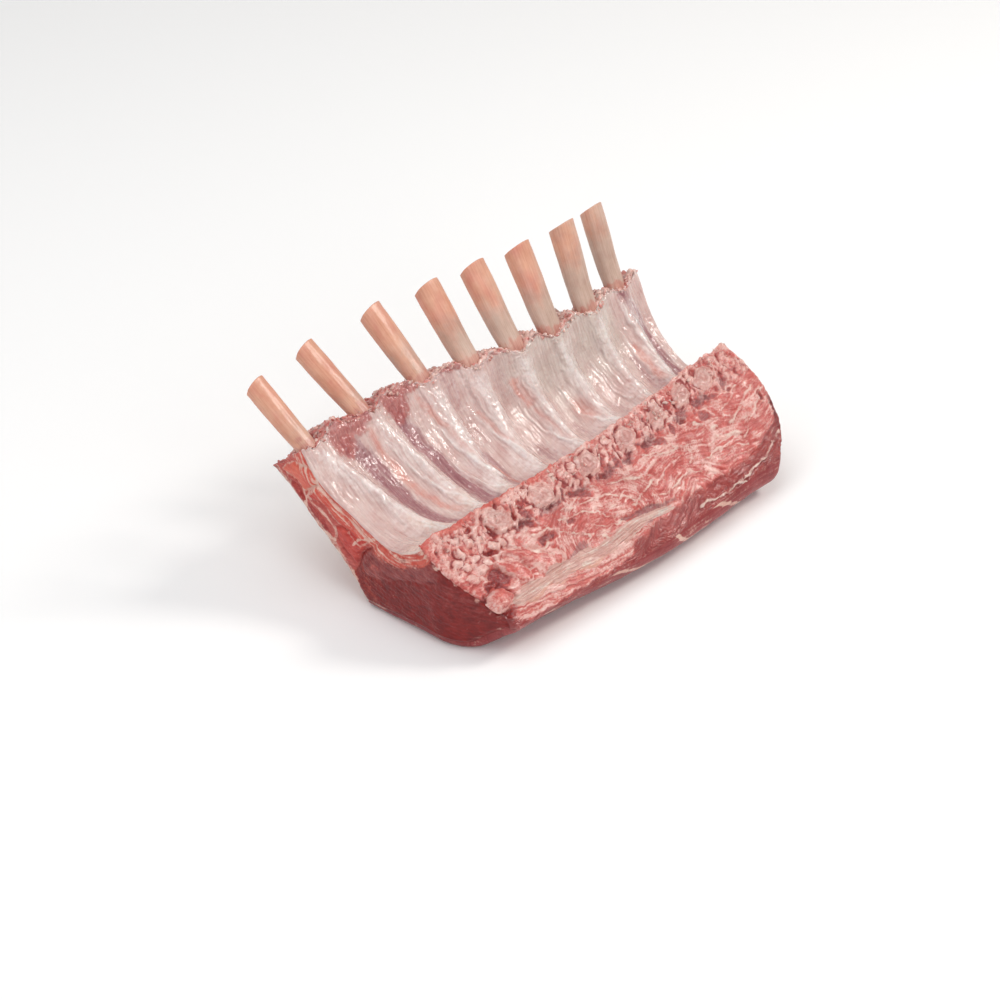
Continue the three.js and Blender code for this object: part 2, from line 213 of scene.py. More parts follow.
def grain(points, size, seed=0, octaves=1):
    # Smooth waves from about -1 to 1. size is their length in mm, one number or one for each direction.
    points = np.asarray(points, float)
    spots = points.reshape(-1, 3) / np.asarray(size, float)
    total = np.zeros(len(spots))
    weight = 1.0
    for octave in range(octaves):
        cell = np.floor(spots).astype(np.int64)
        part = spots - cell
        ease = part**3 * (part * (part * 6 - 15) + 10)
        for corner in np.ndindex(2, 2, 2):
            step = np.array(corner)
            push = noiseTable[tableSpot(cell + step, seed + octave * 7)]
            share = np.prod(np.where(step == 1, ease, 1 - ease), axis=1)
            total += ((part - step) * push).sum(1) * share * weight * 1.7
        weight *= 0.5
        spots = spots * 2.03 + 17.3  # the next waves are half as long, and shifted so that they don't line up
    return total.reshape(points.shape[:-1])


def level(a, b):
    # Points on a flat sheet, for a pattern that doesn't change through the meat.
    return np.stack([a, b, a * 0], -1)


def cells(points, size, seed=0):
    # The distance to the nearest and to the second nearest of scattered spots, in shares of their spacing.
    points = np.asarray(points, float)
    spots = points.reshape(-1, 3) / np.asarray(size, float)
    cell = np.floor(spots).astype(np.int64)
    first = np.full(len(spots), 9.0)
    second = np.full(len(spots), 9.0)
    for corner in np.ndindex(3, 3, 3):
        near = cell + np.array(corner) - 1
        middle = near + 0.5 + noiseTable[tableSpot(near, seed)] * 0.45
        away = np.linalg.norm(spots - middle, axis=1)
        second = np.minimum(second, np.maximum(first, away))
        first = np.minimum(first, away)
    return first.reshape(points.shape[:-1]), second.reshape(points.shape[:-1])


# The skin: one closed band of points round the rack, which the pieces share.

band = {
    "columns": 540,  # along the rack
    "endColumns": 7,  # round each end's edge
    "trough": 165,  # points round a section: crest to rim
    "rim": 72,  # over the rim
    "back": 170,  # down the outside of the flap
    "under": 130,  # under the loin and up its belly
    "front": 165,  # up the sawn face to the crest
    "ridgeHeight": 4.0,  # how far the ribs stand out under the membrane
    "ridgeHalf": 5.6,
    "rimRise": 1.6,  # how far the meat stands up at the rim, and how far it is scraped down at each bone
    "scraped": 4.2,
    "scrapedHalf": 7.5,
    "corner": 3.6,  # how widely a section's corners are rounded, in points
    "hem": 16,  # and round the foot of the sawn face, where the loin's edge is soft
    "hemReach": 38,
    "endEdges": [1.1, 1.1, 1.4, 4.0, 1.1],  # how far each part's edge is rounded at the two ends, in mm
}


def ridgeAcross(rib, u):
    # Under the membrane the ribs sweep towards the far end as they near the chine.
    return ribAcross(rib, u) + rib["sweep"] * (1 - u * u)


def ridges(x, u, half):
    height = np.zeros_like(x)
    for rib in ribs:
        height = np.maximum(height, bell(x, ridgeAcross(rib, u), half))
    return height


def rimRise(x):
    # The meat stands up between the bones and is scraped lower at each one.
    height = np.full_like(x, band["rimRise"])
    for rib in ribs:
        height -= band["scraped"] * bell(x, rib["rimX"], band["scrapedHalf"])
    spots = np.stack([x, x * 0, x * 0], -1)
    return height + 1.3 * grain(spots, 9, 3, 2) + 0.7 * grain(spots, 3.2, 5)


def makeBand():
    turn = np.linspace(0, math.pi / 2, band["endColumns"], endpoint=False)
    middle = np.linspace(0, 1, band["columns"])
    ones, zeros = np.ones(len(turn)), np.zeros(len(turn))
    s = np.concatenate([zeros, middle, ones])
    near = np.concatenate([1 - np.cos(turn), np.ones(len(middle)), ones])
    far = np.concatenate([ones, np.ones(len(middle)), 1 - np.cos(turn[::-1])])
    inset = np.concatenate([1 - np.sin(turn), np.zeros(len(middle)), 1 - np.sin(turn[::-1])])
    along = s * rack["length"]
    curves = profiles(along)
    sets = {"part": [], "share": [], "spot": []}

    def add(part, share, spot):
        sets["part"].append(part)
        sets["share"].append(share)
        sets["spot"].append(spot)

    for share in np.linspace(0, 1, band["trough"], endpoint=False):
        plain = offCurve(curves["inner"], share, 0)
        x = mix(nearEnd(plain[:, 0]), farEnd(plain[:, 0], plain[:, 1]), s)
        hollow = 1 - 0.7 * ramp(0.7, 1, share)
        ridge = ridges(x, share, band["ridgeHalf"]) * ramp(0, 0.25, share)
        drop = band["ridgeHeight"] * hollow * (1 - ridge)
        add(0, share, offCurve(curves["inner"], share, drop))
    rimIn = offCurve(curves["inner"], 1, 1.0)
    rimOut = offCurve(curves["outer"], 1, 0)
    for share in np.linspace(0, 1, band["rim"], endpoint=False):
        add(1, share, mix(rimIn, rimOut, share))
    for share in np.linspace(0, 1, band["back"], endpoint=False):
        add(2, share, offCurve(curves["outer"], 1 - share, 0))
    foot, brisket = station("foot", along), station("brisket", along)
    rows = [foot, mix(foot, brisket, 0.2) * [1, 0], mix(foot, brisket, 0.6) * [1, 0], brisket]
    rows = np.stack(rows + [station("front", along), station("hem", along)], 1)
    for share in np.linspace(0, 1, band["under"], endpoint=False):
        add(3, share, alongSpline(rows, np.full(len(s), share)))
    for share in np.linspace(0, 1, band["front"], endpoint=False):
        add(4, share, alongSpline(curves["face"], np.full(len(s), 1 - share)))
    part = np.array(sets["part"])
    share = np.array(sets["share"])
    spot = np.stack(sets["spot"], 1)
    spot = softened(spot, band["corner"])
    hem = bell(np.arange(len(part)), np.searchsorted(part, 4), band["hemReach"])[None, :, None]
    spot = mix(spot, softened(spot, band["hem"]), hem)
    # Edges at the two ends are rounded by this much, with a slow change between the parts.
    _, _, back, under, front = band["endEdges"]
    soft = np.array(band["endEdges"])[part]
    soft = np.where(part == 4, mix(under, front, ramp(0, 0.22, share)), soft)
    soft = np.where(part == 3, mix(back, under, ramp(0, 0.4, share)), soft)
    soft = softened(soft[None, :, None], 6)[0, :, 0]
    step = np.roll(spot, -1, 1) - np.roll(spot, 1, 1)
    step /= np.linalg.norm(step, axis=2)[:, :, None]
    outward = np.stack([-step[:, :, 1], step[:, :, 0]], 2)
    spot = spot - outward * (inset[:, None] * soft[None, :])[:, :, None]
    begin = nearEnd(spot[:, :, 0]) + near[:, None] * soft
    end = farEnd(spot[:, :, 0], spot[:, :, 1]) - far[:, None] * soft
    x = mix(begin, end, s[:, None])
    y, z = spot[:, :, 0] - rack["middleY"], np.maximum(spot[:, :, 1], 0)
    calm = np.minimum(near, far)
    return np.stack([x - rack["middleX"], y, z], 2), part, share, calm


def softened(values, width):
    # Rounds the corners of the closed loop along its second direction.
    reach = int(width * 3)
    total, weights = 0, 0
    for shift in range(-reach, reach + 1):
        weight = math.exp(-0.5 * (shift / width) ** 2)
        total = total + np.roll(values, shift, 1) * weight
        weights += weight
    return total / weights


def normalsOf(grid, closed=False):
    down = np.gradient(grid, axis=0)
    across = np.roll(grid, -1, 1) - np.roll(grid, 1, 1) if closed else np.gradient(grid, axis=1)
    normal = np.cross(down, across)
    return normal / np.maximum(np.linalg.norm(normal, axis=2), 1e-9)[:, :, None]


skin, skinPart, skinShare, skinCalm = makeBand()
skinNormal = normalsOf(skin, True)
underNormal = skinNormal[200, skinPart == 3].mean(0)  # under the loin, so outwards is down
if underNormal[2] > 0:
    skinNormal = -skinNormal
print("skin", skin.shape)

# Making meshes and materials.


def linear(hexColour, alpha=1.0):
    parts = [int(hexColour[i : i + 2], 16) / 255 for i in (1, 3, 5)]
    return [c / 12.92 if c <= 0.04045 else ((c + 0.055) / 1.055) ** 2.4 for c in parts] + [alpha]


shell = {"step": 8, "lowest": 0.4}  # the inner wall: one point for so many outside, and its lowest z in mm


def innerSpots(grid, depth, axis, count):
    # The rows or columns under which the inner wall lies: set in from both borders by the depth.
    step = np.linalg.norm(np.diff(grid, axis=axis), axis=2).mean(axis=1 - axis)
    first = int(np.searchsorted(np.cumsum(step), depth)) + 1
    last = len(step) - 1 - int(np.searchsorted(np.cumsum(step[::-1]), depth))
    return np.linspace(first, last, count).round().astype(int)


def thinned(count, step):
    # Every so many of a row of points, and always the last.
    return np.unique(np.append(np.arange(0, count - 1, step), count - 1))


def squares(index):
    # The four corners of each square of a grid.
    corners = [index[:-1, :-1], index[1:, :-1], index[1:, 1:], index[:-1, 1:]]
    return np.stack(corners, -1).reshape(-1, 4)


def runOf(line):
    # How far along a line each of its points is.
    return np.concatenate([[0], np.cumsum(np.linalg.norm(np.diff(line, axis=0), axis=1))])


def pointsAt(line, run, at):
    # The points at some places along a line.
    return np.stack([np.interp(at, run, line[:, k]) for k in range(line.shape[1])], 1)


def storeMask(mesh, key, values):
    store = mesh.attributes.new(key, "FLOAT", "POINT")
    store.data.foreach_set("value", values.astype(np.float32))


def solidPiece(name, sheets, nodes, material):
    # Each sheet is a grid of surface points with its masks, made a closed shell with a coarse inner wall.
    corners, quads, lids, rims, uvs = [], [], [], [], []
    masks = {}
    count = 0
    for sheet in sheets:
        grid, depth, flip = sheet["grid"], sheet["depth"], bool(sheet["flip"])
        rows, columns = grid.shape[:2]
        normal = -normalsOf(grid) if flip else normalsOf(grid)
        index = np.arange(rows * columns).reshape(rows, columns) + count
        corners.append(grid.reshape(-1, 3))
        quads.append(squares(index)[:, ::-1] if flip else squares(index))
        count += rows * columns
        keepRows = thinned(rows, shell["step"])
        keepColumns = thinned(columns, shell["step"])
        underRows = innerSpots(grid, depth, 0, len(keepRows))
        under = np.ix_(underRows, innerSpots(grid, depth, 1, len(keepColumns)))
        inward = np.array(sheet["inward"]) if "inward" in sheet else -normal[under]
        inner = grid[under] + inward * depth
        inner[:, :, 2] = np.maximum(inner[:, :, 2], shell["lowest"])
        low = np.arange(inner.shape[0] * inner.shape[1]).reshape(inner.shape[:2]) + count
        corners.append(inner.reshape(-1, 3))
        count += low.size
        quads.append(squares(low) if flip else squares(low)[:, ::-1])
        borders = [
            (index[0, :], low[0, :], keepColumns, True),
            (index[-1, :], low[-1, :], keepColumns, False),
            (index[:, 0], low[:, 0], keepRows, False),
            (index[:, -1], low[:, -1], keepRows, True),
        ]
        for top, bottom, kept, turned in borders:
            for i in range(len(kept) - 1):
                edge = list(top[kept[i] : kept[i + 1] + 1])
                lid = edge[::-1] + [bottom[i], bottom[i + 1]]
                lids.append(lid[::-1] if turned != flip else lid)
            rims.append(np.stack([top[:-1], top[1:]], 1))
        flat = np.asarray(sheet["flat"], float).reshape(-1, 2)
        uvs.append(np.concatenate([flat, np.repeat(flat[:1], low.size, 0)]) / 1000)
        for key, values in sheet["masks"].items():
            whole = np.concatenate([np.broadcast_to(values, grid.shape[:2]).ravel(), np.zeros(low.size)])
            masks.setdefault(key, []).append(whole)
    corners = np.concatenate(corners)
    quads = np.concatenate(quads)
    mesh = bpy.data.meshes.new(name)
    loops = np.concatenate([quads.ravel()] + [np.array(lid) for lid in lids]).astype(np.int32)
    sizes = np.concatenate([np.full(len(quads), 4), [len(lid) for lid in lids]]).astype(np.int32)
    starts = np.concatenate([[0], np.cumsum(sizes)[:-1]]).astype(np.int32)
    mesh.vertices.add(len(corners))
    mesh.vertices.foreach_set("co", (corners / 1000).ravel())
    mesh.loops.add(len(loops))
    mesh.loops.foreach_set("vertex_index", loops)
    mesh.polygons.add(len(sizes))
    mesh.polygons.foreach_set("loop_start", starts)
    mesh.update(calc_edges=True)
    mesh.polygons.foreach_set("use_smooth", np.ones(len(sizes), bool))
    layer = mesh.uv_layers.new(name="surface")
    layer.data.foreach_set("uv", np.concatenate(uvs)[loops].ravel())
    for key, parts in masks.items():
        storeMask(mesh, key, np.concatenate(parts))
    # The border is a sharp edge, so that the lids don't bend the shading of the surface.
    ends = np.zeros(len(mesh.edges) * 2, np.int32)
    mesh.edges.foreach_get("vertices", ends)
    ends = np.sort(ends.reshape(-1, 2), axis=1)
    rimKeys = set(map(tuple, np.sort(np.concatenate(rims), axis=1).tolist()))
    sharp = np.array([tuple(pair) in rimKeys for pair in ends.tolist()])
    mesh.attributes.new("sharp_edge", "BOOLEAN", "EDGE").data.foreach_set("value", sharp)
    mesh.validate()
    piece = bpy.data.objects.new(name, mesh)
    bpy.context.scene.collection.objects.link(piece)
    mesh.materials.append(material)
    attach(piece, "root")
    if nodes:
        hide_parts(*nodes)
    low, high = corners.min(0).round(1), corners.max(0).round(1)
    print(name, "triangles", int((sizes - 2).sum()), "from", low, "to", high)


def add(tree, kind, settings=None, **links):
    # One node, its settings, and its inputs by name: a value or another node's output.
    node = tree.nodes.new(kind)
    for key, value in (settings or {}).items():
        setattr(node, key, value)
    for key, value in links.items():
        socket = node.inputs[int(key[1:])] if key[0] == "i" and key[1:].isdigit() else node.inputs[key]
        if isinstance(value, bpy.types.NodeSocket):
            tree.links.new(value, socket)
        else:
            socket.default_value = value
    return node


flesh = {  # what all the wet surfaces share
    "glowRadius": (1.0, 0.42, 0.3),  # red light travels furthest through meat and fat
    "refraction": 1.4,
    "filmRefraction": 1.5,
    "shine": 0.3,  # the wet film gives most of the shine, so the surface under it has little
    "bump": 0.6,
}


def fleshMaterial(look):
    # A wet, slightly translucent surface: a mottled ground with layers laid over it by the piece's masks.
    # A look's sizes are in mm: its mottling, its fibres' length and width, its ragged edges, its pores, the
    # depth of their bumps, the beads of its wet film, and how far light goes in. A layer has its mask, two
    # shades, how ragged and how soft its edge is, and the most that it covers.
    material = bpy.data.materials.new(look["name"])
    material.use_nodes = True
    tree = material.node_tree
    shader = tree.nodes["Principled BSDF"]
    place = add(tree, "ShaderNodeTexCoord").outputs["Object"]
    flat = add(tree, "ShaderNodeUVMap", {"uv_map": "surface"}).outputs["UV"]
    noise, maths = "ShaderNodeTexNoise", "ShaderNodeMath"
    mottle = add(tree, noise, Vector=place, Scale=1000 / look["mottle"], Detail=4.0, Roughness=0.6)
    long, short = look["fibre"]
    spread = add(tree, "ShaderNodeMapping", Vector=flat, Scale=(1 / long, 1 / short, 1))
    fibre = add(tree, noise, Vector=spread.outputs[0], Scale=1000.0, Detail=3.0, Roughness=0.6)
    ragged = add(tree, noise, Vector=place, Scale=1000 / look["ragged"], Detail=3.0, Roughness=0.65)
    shift = add(tree, maths, {"operation": "SUBTRACT"}, i0=ragged.outputs[0], i1=0.5).outputs[0]
    tone = add(tree, maths, {"operation": "ADD"}, i0=mottle.outputs[0], i1=fibre.outputs[0]).outputs[0]
    middling = {"From Min": 0.72, "From Max": 1.28}
    tone = add(tree, "ShaderNodeMapRange", Value=tone, **middling).outputs[0]
    blend, inColour = "ShaderNodeMix", {"data_type": "RGBA"}
    deep, pale = [linear(shade) for shade in look["ground"]]
    colour = add(tree, blend, inColour, i0=tone, i6=deep, i7=pale).outputs[2]
    for mask, deepShade, paleShade, raggedness, soft, most in look["layers"]:
        mask = add(tree, "ShaderNodeAttribute", {"attribute_name": mask}).outputs["Fac"]
        push = add(tree, maths, {"operation": "MULTIPLY"}, i0=shift, i1=raggedness).outputs[0]
        pushed = add(tree, maths, {"operation": "ADD"}, i0=mask, i1=push).outputs[0]
        span = {"From Min": 0.5 - soft, "From Max": 0.5 + soft, "To Max": most}
        edge = add(tree, "ShaderNodeMapRange", {"interpolation_type": "SMOOTHSTEP"}, Value=pushed, **span)
        deep, pale = linear(deepShade), linear(paleShade)
        pair = add(tree, blend, inColour, i0=tone, i6=deep, i7=pale).outputs[2]
        colour = add(tree, blend, inColour, i0=edge.outputs[0], i6=colour, i7=pair).outputs[2]
    span = {"From Min": 0.3, "From Max": 0.7}
    span["To Min"], span["To Max"] = look["roughness"]
    rough = add(tree, "ShaderNodeMapRange", Value=ragged.outputs[0], **span)
    fine = add(tree, noise, Vector=place, Scale=1000 / look["pores"], Detail=3.0, Roughness=0.6)
    bump, depth = "ShaderNodeBump", look["fibreBump"] / 1000
    lines = add(tree, bump, Height=fibre.outputs[0], Strength=flesh["bump"], Distance=depth)
    depth = look["poreBump"] / 1000
    pits = add(tree, bump, Height=fine.outputs[0], Strength=flesh["bump"], Distance=depth)
    tree.links.new(lines.outputs[0], pits.inputs["Normal"])
    # The film of juice has beads of its own, which break its shine into small glints.
    size, depth = look["sparkle"]
    beads = add(tree, noise, Vector=place, Scale=1000 / size, Detail=2.0, Roughness=0.5)
    film = add(tree, bump, Height=beads.outputs[0], Strength=1.0, Distance=depth / 1000)
    tree.links.new(lines.outputs[0], film.inputs["Normal"])
    for output, socket in (
        (colour, "Base Color"),
        (rough.outputs[0], "Roughness"),
        (pits.outputs[0], "Normal"),
        (film.outputs[0], "Coat Normal"),
    ):
        tree.links.new(output, shader.inputs[socket])
    shader.inputs["Subsurface Weight"].default_value = look["glow"]
    shader.inputs["Subsurface Radius"].default_value = flesh["glowRadius"]
    shader.inputs["Subsurface Scale"].default_value = look["glowDepth"] / 1000
    shader.inputs["Coat Weight"].default_value = look["wet"]
    shader.inputs["Coat Roughness"].default_value = look["wetRoughness"]
    shader.inputs["Coat IOR"].default_value = flesh["filmRefraction"]
    shader.inputs["IOR"].default_value = flesh["refraction"]
    shader.inputs["Specular IOR Level"].default_value = flesh["shine"]
    return material


def sliceOf(part, columnStep=1, rowStep=1):
    # One part of the band, with the first point of the next part, so that neighbours share their border.
    found = np.where(skinPart == part)[0]
    picked = np.append(found[::columnStep], (found[-1] + 1) % len(skinPart))
    return np.ix_(thinned(len(skin), rowStep), picked), picked


# Laying out patches on a surface, in mm.


def oval(x, y, middle, size, turn=0):
    # 0 in the middle of an oval and 1 at its edge.
    c, s = math.cos(math.radians(turn)), math.sin(math.radians(turn))
    dx, dy = x - middle[0], y - middle[1]
    return np.hypot((dx * c + dy * s) / size[0], (dy * c - dx * s) / size[1])


def smoothLine(points, closed=False):
    points = np.asarray(points, float)
    if closed:
        points = np.concatenate([points[-1:], points, points[:2]])
    else:
        points = np.concatenate([2 * points[:1] - points[1:2], points, 2 * points[-1:] - points[-2:-1]])
    made = []
    for i in range(1, len(points) - 2):
        a, b, c, d = points[i - 1 : i + 3]
        for t in (0, 0.25, 0.5, 0.75):
            bend = (2 * a - 5 * b + 4 * c - d) * t * t + (3 * b - a - 3 * c + d) * t**3
            made.append(0.5 * (2 * b + (c - a) * t + bend))
    if not closed:
        made.append(points[-2])
    return np.array(made)


def awayFrom(x, y, points, closed=False):
    # The distance to a smooth line through the points, and how far along it the nearest spot is.
    line = smoothLine(points, closed)
    if closed:
        line = np.concatenate([line, line[:1]])
    best = np.full(x.shape, 1e9)
    along = np.zeros(x.shape)
    for i in range(len(line) - 1):
        a, b = line[i], line[i + 1]
        span = b - a
        t = np.clip(((x - a[0]) * span[0] + (y - a[1]) * span[1]) / max(span @ span, 1e-9), 0, 1)
        away = np.hypot(x - a[0] - t * span[0], y - a[1] - t * span[1])
        along = np.where(away < best, (i + t) / (len(line) - 1), along)
        best = np.minimum(best, away)
    return best, along


def insideOf(x, y, points):
    # The distance to a smooth closed outline, more than 0 inside it.
    line = smoothLine(points, True)
    away, _ = awayFrom(x, y, points, True)
    inside = np.zeros(x.shape, bool)
    for i in range(len(line)):
        a, b = line[i], line[(i + 1) % len(line)]
        crosses = (a[1] > y) != (b[1] > y)
        side = a[0] + (y - a[1]) / (b[1] - a[1] + 1e-12) * (b[0] - a[0])
        inside ^= crosses & (x < side)
    return np.where(inside, away, -away)


# Relief of the band: how far each point stands out, in mm.

skinX = skin[:, :, 0] + rack["middleX"]
share = np.broadcast_to(skinShare, skinX.shape)
onPart = [np.broadcast_to(skinPart == k, skinX.shape) for k in range(5)]
columnsOf = [np.where(skinPart == k)[0] for k in range(5)]
relief = 0.45 * grain(skin, 15, 1, 2) + 0.08 * grain(skin, 2.6, 2, 2)

# The sawn face: sizes in mm, as [along the rack, down from the crest].

face = {
    "heads": [  # cut rib heads: middle, half sizes, turn in degrees
        [36.2, 9.4, 7.2, 6.4, 30],
        [64, 10.8, 6.8, 5.8, -30],
        [95.6, 9.4, 6.4, 5.2, -35],
        [121.7, 9.9, 6.4, 4.8, -40],
        [144.3, 9.8, 6.8, 4.6, -50],
        [163, 9.6, 6.2, 4.4, -45],
        [180, 9.5, 6.4, 4.6, -30],
    ],
    "lumps": [  # gristle knobs: middle, size, height
        [10.4, 8.5, 2.6, 1.4],
        [15.5, 12.5, 2.4, 1.2],
        [8.0, 14.0, 3.0, 1.6],
        [13.0, 18.6, 2.8, 1.3],
        [6.5, 21.5, 2.6, 1.5],
        [22.0, 13.0, 2.2, 0.9],
        [25.0, 18.5, 2.6, 1.0],
        [16.5, 24.0, 2.0, 0.8],
        [30.0, 19.5, 2.4, 0.9],
        [22.5, 23.0, 2.2, 1.0],
        [5.0, 27.5, 2.8, 1.3],
        [12.5, 25.5, 2.4, 1.0],
        [3.5, 17.5, 2.6, 1.2],
        [19.0, 17.0, 2.0, 0.8],
        [56.5, 5.5, 2.6, 0.9],
        [87.0, 5.5, 2.4, 0.8],
        [112.0, 5.0, 2.4, 0.8],
    ],
    "hollows": [  # marrow and cavities: middle, half sizes, turn, depth, how red
        [20.5, 7.0, 1.6, 1.4, 0, 1.6, 1.0],
        [21.5, 21.0, 3.2, 1.4, 20, 1.6, 1.0],
        [50.3, 13.6, 3.4, 2.6, 20, 0.7, 0.75],
        [47.0, 18.4, 4.2, 2.0, 25, 1.3, 1.0],
        [66.5, 27.0, 2.2, 1.6, 0, 0.9, 1.0],
        [50.0, 27.8, 6.0, 2.5, 0, 1.7, 0.8],
        [17.5, 32.0, 6.6, 4.4, 40, 2.2, 1.0],
        [11.5, 34.5, 4.2, 2.6, 10, 1.3, 0.8],
        [46.5, 41.0, 5.0, 1.7, -15, 1.3, 0.8],
        [81.5, 19.3, 7.0, 1.6, 25, 0.9, 0.9],
        [108.5, 16.5, 2.2, 5.2, -10, 0.8, 0.85],
        [134.5, 20.5, 4.4, 1.5, 35, 1.0, 0.95],
        [98.0, 17.6, 1.5, 1.5, 0, 1.4, 1.0],
        [127.0, 17.0, 1.6, 1.4, 0, 1.3, 1.0],
        [153.0, 19.8, 1.8, 1.5, 0, 1.4, 1.0],
        [145.0, 19.5, 2.8, 1.3, -60, 0.8, 0.9],
        [164.7, 24.0, 1.8, 4.4, -40, 0.9, 1.0],
        [186.2, 22.0, 1.6, 1.4, 0, 1.3, 1.0],
        [176.0, 19.6, 2.4, 1.2, 20, 0.5, 0.8],
        [199.0, 33.0, 1.4, 2.4, 0, 1.0, 0.9],
        [202.0, 41.0, 1.6, 2.6, 0, 0.9, 0.9],
        [13.0, 49.0, 5.0, 1.2, -10, 1.6, 0.9],
        [73.0, 15.0, 1.2, 3.4, 20, 0.9, 0.9],
        [28.5, 12.5, 1.0, 3.0, 10, 0.8, 0.9],
    ],
    "slits": [  # torn lines between the rib heads: from, to, depth
        [[18.3, 4.0], [18.7, 14.0], 1.2],
        [[46.4, 5.5], [43.0, 14.0], 1.1],
        [[53.5, 6.0], [56.5, 13.5], 0.8],
        [[76.0, 6.0], [79.0, 14.0], 0.8],
        [[84.5, 8.0], [86.0, 15.0], 0.9],
        [[105.0, 5.0], [101.0, 14.5], 0.9],
        [[113.5, 8.0], [112.0, 16.0], 0.9],
        [[130.0, 5.5], [127.0, 14.0], 0.9],
        [[137.0, 7.0], [135.5, 15.0], 0.9],
        [[153.5, 5.0], [150.0, 14.0], 0.9],
        [[157.0, 8.0], [156.0, 16.0], 0.8],
        [[172.5, 5.0], [170.0, 14.0], 0.8],
        [[188.0, 5.0], [190.0, 16.0], 0.8],
        [[194.0, 9.0], [197.0, 20.0], 0.6],
    ],
    "leaves": [  # thin flaps that stand out: outline, height
        [
            [
                *[[24, 22], [33, 24.5], [41, 29.5], [50, 34], [53.5, 38.5]],
                *[[47, 42.5], [38, 42.5], [35, 36], [30, 29]],
            ],
            1.2,
        ],
        [[[19.5, 25], [25, 26], [31.2, 32], [33, 38.5], [29, 41.5], [24, 38], [21, 31]], 0.8],
    ],
    "seams": [  # white seams of fat: points, width
        [[[28, 19], [34, 24.5], [41, 30.5], [47, 36]], 1.0],
        [[[39, 30.0], [43, 30.6], [49, 30.4], [55.5, 25.5], [51.5, 23.6], [45, 24.0]], 0.7],
        [[[100, 37.2], [107, 35.2], [113.7, 33.2], [119.4, 33.2], [117, 29.8]], 0.8],
        [[[62, 24], [72, 25.5], [80, 29.5], [86, 36]], 0.6],
        [[[66, 21], [77, 23], [88, 24.5], [97, 29], [104, 35.5]], 0.6],
        [[[88, 19.5], [99, 22.5], [108, 25.8], [118, 30]], 0.6],
        [[[122, 20.5], [131, 25], [142, 28], [146.5, 29.8]], 0.8],
        [[[146.5, 29.8], [139, 31.5], [132, 33.2]], 0.7],
        [[[139.6, 25.6], [142.2, 28.1], [145.3, 32.4], [141, 37]], 0.7],
        [[[157, 24.5], [161, 28.2], [166.5, 31.4]], 1.5],
        [[[163, 35.5], [169, 38.2], [175.2, 41.5]], 1.1],
        [[[175, 34.5], [184, 31.5], [192, 28.5], [198, 27.5]], 1.1],
        [[[172, 26.5], [181, 26.0], [190, 22.5]], 0.7],
        [[[176, 43.5], [186, 38.5], [196, 33.5], [201, 30]], 0.8],
        [[[150, 40.5], [160, 40.8], [170, 45], [176, 48.5]], 0.7],
        [[[112, 39.0], [122, 40.8], [133, 39.5], [143, 42.5]], 0.6],
        [[[70, 33], [80, 37], [90, 41]], 0.5],
        [[[58, 29], [66, 33.5], [73, 38.5], [78, 43]], 0.5],
        [[[150, 61], [158, 60.5], [168, 61.5], [178, 60], [188, 57], [197, 53]], 0.9],
        [[[158, 60.5], [163, 64], [166, 68]], 0.8],
        [[[132, 56], [141, 58.5], [150, 61], [156, 66]], 0.8],
        [[[189, 54.5], [193, 58], [195, 63]], 0.4],
    ],
    # Where the dark belly of the loin starts, and the seam along it past the ligament.
    "bellyTop": [[0, 46], [126, 48.5], [156, 52.5], [172, 54], [186, 52], [197, 47.5], [203, 42]],
    "bellySeam": [[126, 48.5], [140, 50.8], [156, 52.8], [172, 54], [186, 52], [197, 47.5], [203, 42]],
    "sinew": [[13, 50.5], [30, 50], [46, 49], [62, 49], [78, 48.4], [92, 46.2], [108, 46], [124, 48]],
    # Painted shade: a dark line and two dark patches along the crevice at the top of the ligament.
    "creviceShade": [[86, 40.2], [96, 39.8], [106, 41.6], [116, 44.6], [126, 46.6]],
    "creviceShadePatches": [  # middle, half sizes, turn, strength
        [104, 44.2, 12, 2.6, 8, 0.9],
        [60, 41, 9, 2.4, -12, 0.8],
    ],
    "knob": [8.9, 42.2, 7.6, 5.6, -10, 3.5],  # middle, half sizes, turn, height
    "spongyDown": 17.5,  # the broken line of backbone under the rib heads
    "spongyHalf": 2.8,
}

faceColumns = columnsOf[4]
faceSkin = skin[:, faceColumns]
faceX = skinX[:, faceColumns]
faceStep = np.linalg.norm(np.diff(skin[:, np.append(faceColumns, 0)], axis=1), axis=2)
faceDown = np.cumsum(faceStep[:, ::-1], axis=1)[:, ::-1]
faceSpots = level(faceX, faceDown)
warpX = faceX + 1.3 * grain(faceSpots, 7, 51, 3)
warpDown = faceDown + 1.2 * grain(faceSpots, 7, 52, 3)
# The grain of the meat runs a little uphill towards the far end, and fans out below the near rib heads.
fanned = 1 - ramp(18, 34, np.hypot(faceX - 84, (faceDown - 34) * 1.4))
slant = 0.3 + 0.25 * grain(faceSpots, 40, 53) - 0.85 * fanned
flowP = warpX + slant * warpDown
flowQ = warpDown - slant * warpX * 0.55 + 1.6 * grain(faceSpots, 18, 54)
flow = level(flowP, flowQ)
upper = 1 - ramp(15, 23, warpDown + 3 * grain(faceSpots, 10, 55) - 5 * (1 - ramp(28, 46, faceX)))
lower = 1 - upper
bellyDown = np.interp(faceX, *zip(*face["bellyTop"]))
belly = ramp(-3.5, 2.5, warpDown - bellyDown + 1.8 * grain(faceSpots, 9, 56, 2))
fibres = grain(flow, [12, 0.9, 9], 57, 3)
broadFibres = grain(flow, [18, 3.0, 9], 58, 2)


def edgesOf(spots, size, seed):
    # 0 in the seams between soft lumps, rising inside them.
    nearest, second = cells(spots, size, seed)
    return second - nearest


